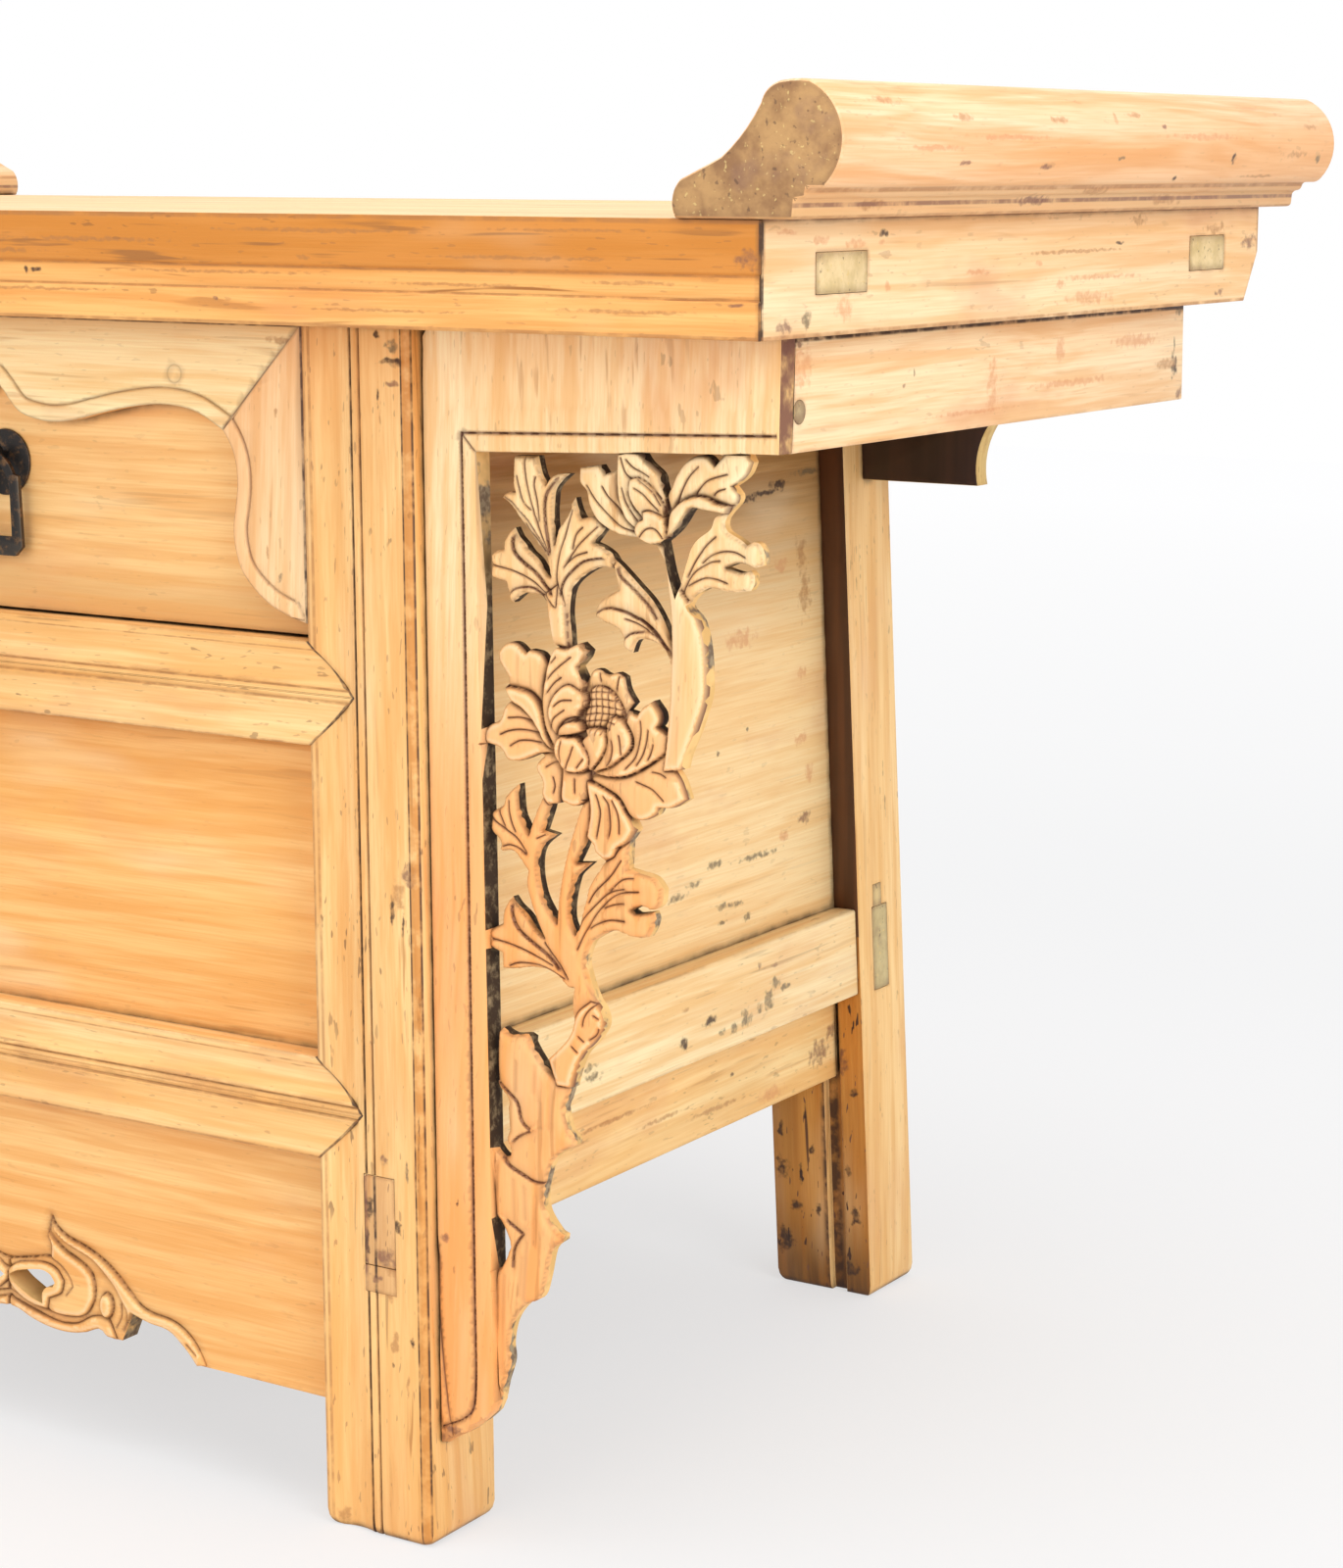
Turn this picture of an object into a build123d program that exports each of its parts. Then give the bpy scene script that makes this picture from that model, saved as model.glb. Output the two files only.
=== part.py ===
from build123d import *
import os

# A single-drawer altar coffer: a framed top with everted flanges on four splayed posts,
# one drawer behind a cusped arch, a hidden compartment, and openwork spandrels.
# Millimetres. X runs along the front, -Y is the front, Z is up, and the floor is Z = 0.

# ---------------------------------------------------------------- driving sizes
top_length = 1168.0
top_depth = 650.0
top_height = 780.0
top_thick = 62.0
top_rail_width = 120.0
top_panel_thick = 20.0
panel_tongue = 9.0
panel_tongue_thick = 8.0
panel_tongue_drop = 8.0
batten_width = 45.0
batten_thick = 26.0
batten_count = 3
batten_tenon = 14.0

flange_height = 70.0
flange_toe = 52.0
flange_nose = 50.0
flange_overhang = 5.0
flange_key_width = 14.0
flange_key_depth = 8.0

foot_setback_front = 23.0
foot_setback_rear = 27.0
foot_inset = 234.5
splay = 0.040
rake_front = 0.043
rake_rear = 0.018
post_width = 78.0
post_depth = 64.0
post_tenon_width = 36.0
post_tenon_depth = 26.0
post_tenon_height = 25.0
post_arris = 5.0
foot_round = 12.0

moulding_fillet = 5.0
moulding_hollow = 2.6
moulding_groove = 2.0
post_bead_start = 33.0
post_bead_end = 41.5
rail_bead_half = 5.2

rail_height = 61.0
rail_depth = 45.0
rail_point = 33.0
rail_shoulder = 16.0
rail_tenon = 45.0
rail_tenon_thick = 12.0
rail_tenon_inset = 8.0
drawer_opening = 186.0
panel_opening = 186.0

front_panel_recess = 18.0
front_panel_thick = 12.0
groove_depth = 6.0
apron_recess = 10.0
apron_thick = 18.0

side_rail_recess = 2.0
side_rail_thick = 44.0
side_rail_height = 62.0
side_rail_tenon = 18.0
side_rail_tenon_recess = 14.0
side_panel_recess = 20.0
side_panel_thick = 13.0
stretcher_recess = 22.0
stretcher_thick = 24.0
stretcher_height = 63.0
stretcher_tenon_rise = 3.0
stretcher_tenon_height = 55.0
wedge_height = 16.0
wedge_depth = 40.0

rear_rail_recess = 12.0
rear_rail_setback = 12.0
rear_tenon_recess = 22.0
rear_tenon_thick = 22.0
rear_wedge_width = 12.0
rear_panel_recess = 27.0
rear_panel_thick = 12.0

floor_thick = 14.0
floor_drop = 1.0
ledge_size = 20.0

end_board_inset = 25.0
end_board_thick = 20.0
end_board_height = 64.0
spandrel_recess = 9.0
spandrel_thick = 15.0
spandrel_gap = 0.8
spandrel_tongue = 7.0
spandrel_tongue_thick = 5.0
spandrel_groove = 1.4
spandrel_tongue_inset = 20.0
bracket_recess = 22.0
bracket_thick = 16.0
bracket_height = 128.0
bracket_drop_reach = 90.0

drawer_side_gap = 2.5
drawer_top_gap = 2.0
drawer_bottom_gap = 1.5
drawer_recess = 2.0
arch_thick = 12.0
drawer_front_thick = 14.0
drawer_rear_clear = 10.6
drawer_board = 13.0
drawer_side_clear = 1.0
drawer_side_drop = 23.7
drawer_bottom_thick = 8.0
drawer_bottom_lift = 8.0
drawer_groove = 5.0
runner_clear = 0.3
runner_width = 44.0
runner_height = 30.0
guide_height = 18.0

plate_radius = 20.5
plate_thick = 1.5
plate_drop = 94.0
staple_wire = 1.8
staple_outer = 7.0
staple_inner = 3.4
staple_reach = 9.0
staple_tail = 8.0
bail_half_width = 22.0
bail_arm = 8.5
bail_shoulder = 12.0
bail_drop = 62.0
bail_foot = 12.0
bail_chamfer = 6.0
bail_thick = 3.2
bail_crown = 2.3
bail_lift = 5.0

peg_radius = 6.5
peg_length = 9.0

# ---------------------------------------------------------------- derived places
half_length = top_length / 2
half_depth = top_depth / 2
under_top = top_height - top_thick
rear_rail_depth = post_depth - rear_rail_recess - rear_rail_setback
foot_front = half_depth - foot_setback_front
foot_rear = half_depth - foot_setback_rear
foot_outer = half_length - foot_inset
upper_rail_top = under_top - drawer_opening
upper_rail_bottom = upper_rail_top - rail_height
lower_rail_top = upper_rail_bottom - panel_opening
lower_rail_bottom = lower_rail_top - rail_height
side_rail_bottom = lower_rail_bottom + 1.0
side_rail_top = side_rail_bottom + side_rail_height
stretcher_bottom = side_rail_bottom - stretcher_height
stretcher_tenon_bottom = stretcher_bottom + stretcher_tenon_rise
stretcher_tenon_top = stretcher_tenon_bottom + stretcher_tenon_height
floor_top = lower_rail_top - floor_drop
end_board_bottom = under_top - end_board_height
bracket_bottom = under_top - bracket_height
plate_height = under_top - plate_drop
drawer_low = upper_rail_top + drawer_bottom_gap
drawer_high = under_top - drawer_top_gap
arch_recess = drawer_recess + arch_thick
far = top_length


def front_y(z):
    """The front face of the front posts at height z."""
    return rake_front * z - foot_front


def rear_y(z):
    """The rear face of the rear posts at height z."""
    return foot_rear - rake_rear * z


def outer_x(z):
    """The outer face of the right-hand posts at height z."""
    return foot_outer - splay * z


def inner_x(z):
    """The inner face of the right-hand posts at height z."""
    return outer_x(z) - post_width


def drawer_x(z):
    """Half the width of the drawer's front at height z."""
    return inner_x(z) - drawer_side_gap


def polygon(points):
    with BuildSketch() as sheet:
        Polygon(*points, align=None)
    return sheet.sketch


def crossed(side_view, front_view):
    """The solid whose side view (Y, Z) and front view (X, Z) are the two sketches."""
    with BuildPart() as made:
        with BuildSketch(Plane.YZ):
            add(side_view)
        extrude(amount=far, both=True)
        with BuildSketch(Plane.XZ):
            add(front_view)
        extrude(amount=far, both=True, mode=Mode.INTERSECT)
    return made.part


def front_slab(recess, thick, low, high):
    """Side view of a board that follows the rake of the front posts."""
    return polygon([(front_y(low) + recess, low), (front_y(low) + recess + thick, low),
                    (front_y(high) + recess + thick, high), (front_y(high) + recess, high)])


def rear_slab(recess, thick, low, high):
    """Side view of a board that follows the rake of the rear posts."""
    return polygon([(rear_y(low) - recess, low), (rear_y(low) - recess - thick, low),
                    (rear_y(high) - recess - thick, high), (rear_y(high) - recess, high)])


def side_slab(recess, thick, low, high):
    """Front view of a board that follows the splay of the right-hand posts."""
    return polygon([(outer_x(low) - recess, low), (outer_x(low) - recess - thick, low),
                    (outer_x(high) - recess - thick, high), (outer_x(high) - recess, high)])


def between_posts(low, high, extra=0.0):
    """Front view of what spans the two front posts, run into each by extra."""
    return polygon([(-inner_x(low) - extra, low), (inner_x(low) + extra, low),
                    (inner_x(high) + extra, high), (-inner_x(high) - extra, high)])


def front_to_rear(low, high, extra=0.0):
    """Side view of what spans the front and rear posts, run into each by extra."""
    return polygon([(front_y(low) + post_depth - extra, low), (rear_y(low) - post_depth + extra, low),
                    (rear_y(high) - post_depth + extra, high), (front_y(high) + post_depth - extra, high)])


def save(part, label):
    part.label = label
    export_step(part, os.path.join("parts", label + ".step"))


def save_pair(part, name):
    """Write the right-hand piece and its mirror image."""
    save(part, name + "_right")
    with BuildPart() as opposite:
        add(mirror(part, about=Plane.YZ))
    save(opposite.part, name + "_left")
    return opposite.part


os.makedirs("parts", exist_ok=True)

# ---------------------------------------------------------------- front rails
# Each rail's face is a mirrored moulding, two hollows on either side of a double bead, and
# runs to a point that is mitred into the posts. A tenon behind the shoulder holds it.


def rail_face(low):
    """Side view of the moulded face layer, from the face back to the shoulder."""
    high = low + rail_height
    middle = (low + high) / 2
    bead = rail_bead_half
    with BuildSketch() as face:
        with BuildLine():
            foot = (front_y(low), low)
            lip = (front_y(low) + 0.0, low + moulding_fillet)
            dip = (front_y(low) + moulding_hollow, (low + moulding_fillet + middle - bead) / 2)
            crest = (front_y(middle), middle - bead)
            Polyline(foot, lip)
            ThreePointArc(lip, dip, crest)
            Polyline(crest, (front_y(middle) + moulding_groove, middle - bead / 2 - 1),
                     (front_y(middle), middle - 1), (front_y(middle) + moulding_groove / 2, middle),
                     (front_y(middle), middle + 1),
                     (front_y(middle) + moulding_groove, middle + bead / 2 + 1),
                     (front_y(middle), middle + bead))
            top_lip = (front_y(high), high - moulding_fillet)
            top_dip = (front_y(high) + moulding_hollow, (high - moulding_fillet + middle + bead) / 2)
            ThreePointArc((front_y(middle), middle + bead), top_dip, top_lip)
            Polyline(top_lip, (front_y(high), high), (front_y(high) + rail_shoulder, high),
                     (front_y(low) + rail_shoulder, low), foot)
        make_face()
    return face.sketch


def rail_outline(low):
    """Front view of a rail with its two pointed ends."""
    high = low + rail_height
    middle = (low + high) / 2
    point = inner_x(middle) + rail_point
    return polygon([(-inner_x(low), low), (inner_x(low), low), (point, middle),
                    (inner_x(high), high), (-inner_x(high), high), (-point, middle)])


def rail_pocket(low):
    """What the posts lose where a rail's pointed face is mitred into them."""
    return crossed(front_slab(-1, rail_shoulder + 1, low, low + rail_height), rail_outline(low))


def front_rail(low):
    high = low + rail_height
    tenon_low = low + rail_tenon_inset
    tenon_high = high - rail_tenon_inset
    with BuildPart() as rail:
        add(crossed(rail_face(low), rail_outline(low)))
        add(crossed(front_slab(rail_shoulder, rail_depth - rail_shoulder, low, high),
                    between_posts(low, high)))
        add(crossed(front_slab(rail_shoulder + 4, rail_tenon_thick, tenon_low, tenon_high),
                    between_posts(tenon_low, tenon_high, rail_tenon)))
    return rail.part


front_panel = crossed(
    front_slab(front_panel_recess, front_panel_thick, lower_rail_top - groove_depth,
               upper_rail_bottom + groove_depth),
    between_posts(lower_rail_top - groove_depth, upper_rail_bottom + groove_depth, groove_depth))

# ---------------------------------------------------------------- front apron
# A board with an ogee lower edge, cut through by two teardrops whose tips meet at the middle.


def on_apron(x, z):
    """A point of the apron, drawn on a board 271.5 by 224, moved to where it falls on this one."""
    return (x * inner_x(0) / 271.5, z * lower_rail_bottom / 224.0)


def apron_arc(first, middle, last):
    return ThreePointArc(on_apron(*first), on_apron(*middle), on_apron(*last))


with BuildSketch() as apron_view:
    apron_top = lower_rail_bottom + groove_depth
    apron_bottom = on_apron(158, 71)[1]
    with BuildLine():
        Polyline((0, apron_top), (inner_x(apron_top) + groove_depth, apron_top),
                 (inner_x(apron_bottom) + groove_depth, apron_bottom), on_apron(158, 71))
        add(apron_arc((158, 71), (149.5, 79.5), (135.5, 89.2)))
        add(apron_arc((135.5, 89.2), (119, 91.5), (104, 95.2)))
        Line(on_apron(104, 95.2), on_apron(96, 75.7))
        add(apron_arc((96, 75.7), (86, 75.2), (77, 79.7)))
        add(apron_arc((77, 79.7), (49, 72.5), (20, 76.5)))
        add(apron_arc((20, 76.5), (9, 80.5), (0, 81.5)))
        Line(on_apron(0, 81.5), (0, apron_top))
    make_face()
    with BuildLine():
        add(apron_arc((1.5, 102.5), (17, 109.0), (32.0, 111.2)))
        add(apron_arc((32.0, 111.2), (42.0, 104.5), (35.0, 100.3)))
        Polyline(on_apron(35.0, 100.3), on_apron(31.5, 96.0), on_apron(31.5, 89.0))
        add(apron_arc((31.5, 89.0), (15, 94.5), (1.5, 102.5)))
    make_face(mode=Mode.SUBTRACT)
    mirror(about=Plane.YZ)

apron = crossed(front_slab(apron_recess, apron_thick, 0, lower_rail_bottom + groove_depth),
                apron_view.sketch)

with BuildPart() as rail_front_upper:
    add(front_rail(upper_rail_bottom))
    add(front_panel, mode=Mode.SUBTRACT)

with BuildPart() as rail_front_lower:
    add(front_rail(lower_rail_bottom))
    add(front_panel, mode=Mode.SUBTRACT)
    add(apron, mode=Mode.SUBTRACT)

# ---------------------------------------------------------------- sides
# A panel stands in a groove down the posts and in the top of a flush rail. Below the rail a
# thinner stretcher is set back, and its tenons pass right through both posts.
stretcher_tenon_thick = stretcher_thick - 1

with BuildPart() as side_panel:
    add(crossed(front_to_rear(side_rail_top - groove_depth, under_top, groove_depth),
                side_slab(side_panel_recess, side_panel_thick, side_rail_top - groove_depth, under_top)))

with BuildPart() as side_rail:
    add(crossed(front_to_rear(side_rail_bottom, side_rail_top),
                side_slab(side_rail_recess, side_rail_thick, side_rail_bottom, side_rail_top)))
    add(crossed(front_to_rear(side_rail_bottom + 8, side_rail_top - 8, side_rail_tenon),
                side_slab(side_rail_tenon_recess, rail_tenon_thick, side_rail_bottom + 8, side_rail_top - 8)))
    add(side_panel.part, mode=Mode.SUBTRACT)

with BuildPart() as side_stretcher:
    add(crossed(front_to_rear(stretcher_bottom, side_rail_bottom),
                side_slab(stretcher_recess, stretcher_thick, stretcher_bottom, side_rail_bottom)))
    add(crossed(front_to_rear(stretcher_tenon_bottom, stretcher_tenon_top, post_depth),
                side_slab(stretcher_recess + 1, stretcher_tenon_thick, stretcher_tenon_bottom,
                          stretcher_tenon_top)))

wedge_low = stretcher_tenon_bottom - wedge_height
wedge_view = side_slab(stretcher_recess + 1, stretcher_tenon_thick, wedge_low, stretcher_tenon_bottom)
front_wedge = crossed(front_slab(0, wedge_depth, wedge_low, stretcher_tenon_bottom), wedge_view)
rear_wedge = crossed(rear_slab(0, wedge_depth, wedge_low, stretcher_tenon_bottom), wedge_view)

# ---------------------------------------------------------------- back
# Two rails and two plain panels. The lower rail's tenons pass through the rear posts and are
# tightened by a small wedge on top.


def rear_rail(low, tenon_length):
    high = low + rail_height
    with BuildPart() as rail:
        add(crossed(rear_slab(rear_rail_recess, rear_rail_depth, low, high), between_posts(low, high)))
        add(crossed(rear_slab(rear_tenon_recess, rear_tenon_thick, low, high),
                    between_posts(low, high, tenon_length)))
    return rail.part


def rear_panel(low, high, top_groove):
    return crossed(rear_slab(rear_panel_recess, rear_panel_thick, low - groove_depth, high + top_groove),
                   between_posts(low - groove_depth, high + top_groove, groove_depth))


rear_panel_lower = rear_panel(lower_rail_top, upper_rail_bottom, groove_depth)
rear_panel_upper = rear_panel(upper_rail_top, under_top, 0.0)

with BuildPart() as rail_rear_lower:
    add(rear_rail(lower_rail_bottom, post_width))
    add(rear_panel_lower, mode=Mode.SUBTRACT)

with BuildPart() as rail_rear_upper:
    add(rear_rail(upper_rail_bottom, rail_tenon / 2))
    add(rear_panel_lower, mode=Mode.SUBTRACT)
    add(rear_panel_upper, mode=Mode.SUBTRACT)

rear_wedge_top = lower_rail_top + wedge_height
rear_key_view = polygon([(outer_x(lower_rail_top), lower_rail_top),
                         (outer_x(lower_rail_top) - wedge_depth, lower_rail_top),
                         (outer_x(rear_wedge_top) - wedge_depth, rear_wedge_top),
                         (outer_x(rear_wedge_top), rear_wedge_top)])
rear_key = crossed(rear_slab(rear_tenon_recess + 8, rear_wedge_width, lower_rail_top, rear_wedge_top),
                   rear_key_view)

# ---------------------------------------------------------------- spandrels
# One board on each side of the front: a stile along the post and a strip under the top with a
# beaded inner edge, round an openwork branch of peony that stands on a rock. The outlines are
# those of the right-hand board's front face.
strip_end = half_length - end_board_inset
carving_start = outer_x(under_top)


def on_board(points):
    """Points of the carving, drawn on a board 718 high whose edges are 349.5 - 0.04 z and 559,
    moved to where they fall on this one."""
    made = []
    for x, drawn_z in points:
        z = drawn_z * under_top / 718.0
        share = (x - 349.5 + 0.04 * drawn_z) / (209.5 + 0.04 * drawn_z)
        made.append((outer_x(z) + share * (strip_end - outer_x(z)), z))
    return made


spandrel_foot = 60.0 * under_top / 718.0
surround = [(carving_start + spandrel_gap, under_top), (strip_end, under_top)] + on_board([
    (559, 654.5), (360.3, 647), (364.2, 560), (368.8, 460), (373.8, 350), (378.4, 250), (382.5, 160),
    (384, 130), (385, 93), (382, 86), (376, 80), (369, 74), (362, 69), (354, 64.5), (350, 61.5)]) + [
    (outer_x(spandrel_foot) + spandrel_gap, spandrel_foot)]
upper_spray = on_board([
    (416, 534), (411, 552), (409, 558), (406, 563), (402, 568), (397, 568.5), (391, 568.5), (386, 565),
    (383, 562.5), (380.5, 568), (379, 574), (369, 576), (368.5, 589), (371, 591), (377, 592.5),
    (377.5, 598), (383, 605), (386, 600), (390, 596.5), (394, 592), (399, 588.5), (402, 585), (406, 579.5),
    (409, 578.5), (407, 587), (402, 594), (393, 604), (386, 612), (381, 617.5), (374.5, 621.5),
    (378, 624.5), (384, 625), (382.5, 630), (383, 645.5), (398, 646), (401, 636), (405, 630.5),
    (408, 634.5), (412, 636.5), (419.5, 637), (411, 629), (409.5, 620), (409.5, 612), (411.5, 597),
    (414, 606), (418, 611), (421, 616), (423.5, 624), (426, 617), (429, 612.5), (435, 614), (440, 613),
    (444, 608), (437, 599.5), (443, 597.5), (449, 594), (452, 590), (450, 586), (444, 586.5), (438, 585),
    (431, 581), (425, 576), (422, 570), (421, 560), (422, 552), (424, 534)])
bud_branch = on_board([
    (488, 476), (489.5, 490), (490.5, 500), (491, 518), (491.5, 524), (490, 533), (485, 543), (477.5, 547.5),
    (469, 548), (466, 545.5), (464, 540), (459, 543), (455.5, 552), (446, 555.5), (440, 558.5),
    (438.5, 562), (443, 568), (455, 575), (452, 583), (449.5, 592), (455, 588), (461, 583), (468, 577),
    (475, 571), (480, 565), (485, 557), (489, 548), (490.9, 541), (491.3, 556), (489.5, 572), (485.5, 582),
    (484, 590), (481, 596), (477, 601), (472, 604), (462, 604.5), (453, 605.5), (445, 609), (439, 613),
    (434, 621), (432, 628), (427.5, 633), (427.5, 641), (440, 643), (444, 638), (452, 641), (453, 652),
    (466, 652), (472, 646), (480, 640), (482, 634), (484.8, 627), (488, 633), (493, 643), (501, 650),
    (509, 651.5), (513, 649), (515.5, 646), (519, 650), (525, 655), (535, 655), (538.5, 649), (536, 643),
    (532, 639), (526.5, 635.5), (530.5, 631), (530, 627), (524, 620.5), (521.5, 616), (523, 611),
    (531, 607), (536, 604), (540, 606), (544, 605), (547, 600), (547, 594), (541, 592), (537, 593.5),
    (531, 594), (523.5, 591), (533, 589), (538.5, 590.5), (541, 588), (541, 583), (539, 579.5),
    (527, 578), (514, 579.5), (508, 577), (503, 573), (500.5, 569), (501, 566), (511, 566), (513, 545),
    (514.5, 525), (513, 515), (508, 500), (502, 486), (500, 478)])
bud_gap = on_board([
    (521, 620.5), (510, 622), (505, 623), (501, 622), (494, 612), (489, 607), (484, 603), (488, 588),
    (491, 580), (494, 572), (496, 580), (500.5, 594), (503, 601), (507, 606), (515, 612), (517, 618)])
flower = on_board([
    (376.5, 495), (370, 492), (366, 487), (366, 481), (377, 479), (382, 473), (386, 472), (392, 473),
    (404, 478), (407, 477), (403, 473), (402.5, 469), (407, 462), (406.5, 455), (411, 449.5),
    (418, 451), (419.5, 456), (421, 452.5), (430, 450.5), (437, 455), (437.8, 461), (440, 449),
    (438, 434), (443, 429.5), (444, 426), (451, 421.5), (457, 425), (459, 430), (464, 433), (470, 441),
    (466, 448), (475, 447), (483, 451), (485, 455), (494, 456), (503, 461.5), (499, 471), (494, 478),
    (490.5, 487), (491, 491), (490.5, 496), (483, 500), (485, 503), (484.5, 508), (479, 514.5),
    (473, 510), (470, 506), (462, 507.5), (466, 512), (461, 519), (459, 526), (454, 528), (448, 526.5),
    (442, 529), (438, 528), (434, 521), (429, 529.5), (434, 535), (435.5, 539), (430, 543), (421, 539),
    (416, 540), (413, 538), (408.5, 528), (403, 535), (395, 536.5), (393, 534.5), (386, 539.5),
    (379, 539), (374, 534), (375, 528), (381, 520), (380.5, 514), (382, 510), (385, 507), (381, 504.5),
    (379, 501)])
lower_branch = on_board([
    (431, 346), (430, 338), (430.5, 325), (429, 318), (415, 303), (417, 298), (421, 288), (431, 288),
    (433, 296), (438, 308), (447, 318), (452, 328), (449, 337), (446, 340), (441, 350), (437.5, 362),
    (441, 373), (446, 377), (452, 380.5), (458, 382.5), (470, 380), (479, 381), (482, 386), (483.5, 392),
    (482, 395.5), (471, 393.5), (468, 395), (475, 398.5), (482, 397), (487, 401), (488, 409), (482, 415),
    (471, 417), (464.5, 418), (465, 434), (459, 430), (452, 425), (447, 417), (440, 406), (437, 395),
    (433, 382), (431, 377), (427, 385), (427, 396), (430, 409), (432, 412), (440, 419), (430, 418),
    (435, 428), (440.5, 442), (440, 455), (434, 455), (431.5, 446), (425.5, 427), (422, 413), (419.5, 398),
    (418.5, 382), (413, 388), (407, 398), (404, 412), (406, 424), (415.5, 432.5), (407, 434), (412, 449),
    (412, 455), (407, 455), (400, 438), (398, 431), (394, 437), (391, 443), (389, 459), (381, 451),
    (380, 446.5), (372, 441.5), (372, 431), (378, 426), (378, 419), (388, 420), (398, 410), (397, 405),
    (398, 399), (403, 386), (410, 372.5), (404, 376), (397, 384), (390, 389), (386, 393.5), (381.5, 385),
    (381, 377.5), (372, 373), (372, 363), (381, 360), (381.5, 351), (390, 352), (404, 354.5), (417, 352.5),
    (427, 346)])
rock = on_board([
    (379.5, 317), (384, 314.5), (389, 313), (402, 315), (401.5, 310), (409, 300), (418, 293), (428, 291.5),
    (431, 294), (427, 280), (425, 275), (429, 262), (436, 256), (424, 249), (417, 241), (412.5, 225),
    (414, 212), (423, 201), (429, 199), (419, 190), (415, 172), (411, 160), (401, 154), (393, 143),
    (390, 129), (391, 118), (387, 104), (384, 90), (376, 90), (378, 160), (378, 171), (384, 174),
    (389, 184), (390, 190), (385, 200), (380.5, 204), (377, 204), (376, 246), (378.5, 246), (381, 243),
    (385, 240), (389, 241), (386, 252), (388, 257), (387, 270), (388, 275), (381, 281), (379.3, 284)])

with BuildSketch() as spandrel_view:
    for outline in (surround, upper_spray, bud_branch, flower, lower_branch, rock):
        Polygon(*outline, align=None)
    Polygon(*bud_gap, align=None, mode=Mode.SUBTRACT)

bead_groove_view = polygon(on_board([
    (350.3, 657.5), (559, 664.4), (559, 663.0), (351.7, 656.1), (373.5, 92), (372.1, 92)]))

with BuildPart() as spandrel:
    add(crossed(front_slab(spandrel_recess, spandrel_thick, 0, under_top), spandrel_view.sketch))
    add(crossed(front_slab(spandrel_recess - 1, spandrel_groove + 1, 0, under_top),
                bead_groove_view), mode=Mode.SUBTRACT)
    tongue_recess = spandrel_recess + (spandrel_thick - spandrel_tongue_thick) / 2
    tongue_high = under_top - spandrel_tongue_inset
    tongue_low = spandrel_foot + spandrel_tongue_inset
    add(crossed(front_slab(tongue_recess, spandrel_tongue_thick, tongue_low, tongue_high),
                polygon([(outer_x(tongue_low) - spandrel_tongue, tongue_low),
                         (outer_x(tongue_low) + 2, tongue_low),
                         (outer_x(tongue_high) + 2, tongue_high),
                         (outer_x(tongue_high) - spandrel_tongue, tongue_high)])))

# ---------------------------------------------------------------- rear brackets and end boards
with BuildSketch() as bracket_view:
    drop = outer_x(bracket_bottom) + bracket_drop_reach
    with BuildLine():
        Polyline((drop + 40, end_board_bottom), (strip_end - end_board_thick, end_board_bottom),
                 (strip_end - end_board_thick, under_top), (outer_x(under_top), under_top),
                 (outer_x(bracket_bottom), bracket_bottom), (drop, bracket_bottom))
        ThreePointArc((drop, bracket_bottom), (drop + 9, bracket_bottom + 43), (drop + 40, end_board_bottom))
    make_face()

rear_bracket = crossed(rear_slab(bracket_recess, bracket_thick, bracket_bottom, under_top),
                       bracket_view.sketch)

end_board_front = spandrel_recess + spandrel_thick
end_board = crossed(
    polygon([(front_y(end_board_bottom) + end_board_front, end_board_bottom),
             (rear_y(end_board_bottom) - bracket_recess, end_board_bottom),
             (rear_y(under_top) - bracket_recess, under_top),
             (front_y(under_top) + end_board_front, under_top)]),
    polygon([(strip_end - end_board_thick, end_board_bottom), (strip_end, end_board_bottom),
             (strip_end, under_top), (strip_end - end_board_thick, under_top)]))

# ---------------------------------------------------------------- posts
# The section is drawn at the floor and extruded along the lean, so that every face stays flat.
lean_length = (1 + splay ** 2 + rake_front ** 2) ** 0.5
lean_length_rear = (1 + splay ** 2 + rake_rear ** 2) ** 0.5
post_inner = foot_outer - post_width
post_middle = foot_outer - post_width / 2

with BuildPart() as post_front:
    with BuildSketch(Plane.XY):
        face = -foot_front
        with BuildLine():
            Polyline((post_inner, face + post_depth), (post_inner, face), (post_inner + moulding_fillet, face))
            ThreePointArc((post_inner + moulding_fillet, face),
                          (post_inner + (moulding_fillet + post_bead_start) / 2, face + moulding_hollow),
                          (post_inner + post_bead_start, face))
            Polyline((post_inner + post_bead_start, face),
                     (post_inner + post_bead_start + 1.2, face + moulding_groove),
                     (post_inner + post_bead_start + 2.4, face), (post_inner + post_bead_end - 2.4, face),
                     (post_inner + post_bead_end - 1.2, face + moulding_groove),
                     (post_inner + post_bead_end, face), (foot_outer - post_arris, face))
            ThreePointArc((foot_outer - post_arris, face),
                          (foot_outer - 0.293 * post_arris, face + 0.293 * post_arris),
                          (foot_outer, face + post_arris))
            Polyline((foot_outer, face + post_arris), (foot_outer, face + post_depth),
                     (foot_outer - side_panel_recess, face + post_depth),
                     (foot_outer - side_panel_recess, face + post_depth - groove_depth),
                     (foot_outer - side_panel_recess - side_panel_thick, face + post_depth - groove_depth),
                     (foot_outer - side_panel_recess - side_panel_thick, face + post_depth),
                     (post_inner, face + post_depth))
        make_face()
    extrude(amount=under_top * lean_length, dir=(-splay, rake_front, 1))
    with BuildSketch(Plane.XY.offset(under_top)):
        with Locations((outer_x(under_top) - post_width / 2, front_y(under_top) + post_depth / 2)):
            Rectangle(post_tenon_width, post_tenon_depth)
    extrude(amount=post_tenon_height)
    for piece in (rail_pocket(upper_rail_bottom), rail_pocket(lower_rail_bottom), rail_front_upper.part,
                  rail_front_lower.part, front_panel, apron, side_rail.part, side_stretcher.part,
                  front_wedge, spandrel.part):
        add(piece, mode=Mode.SUBTRACT)

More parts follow.
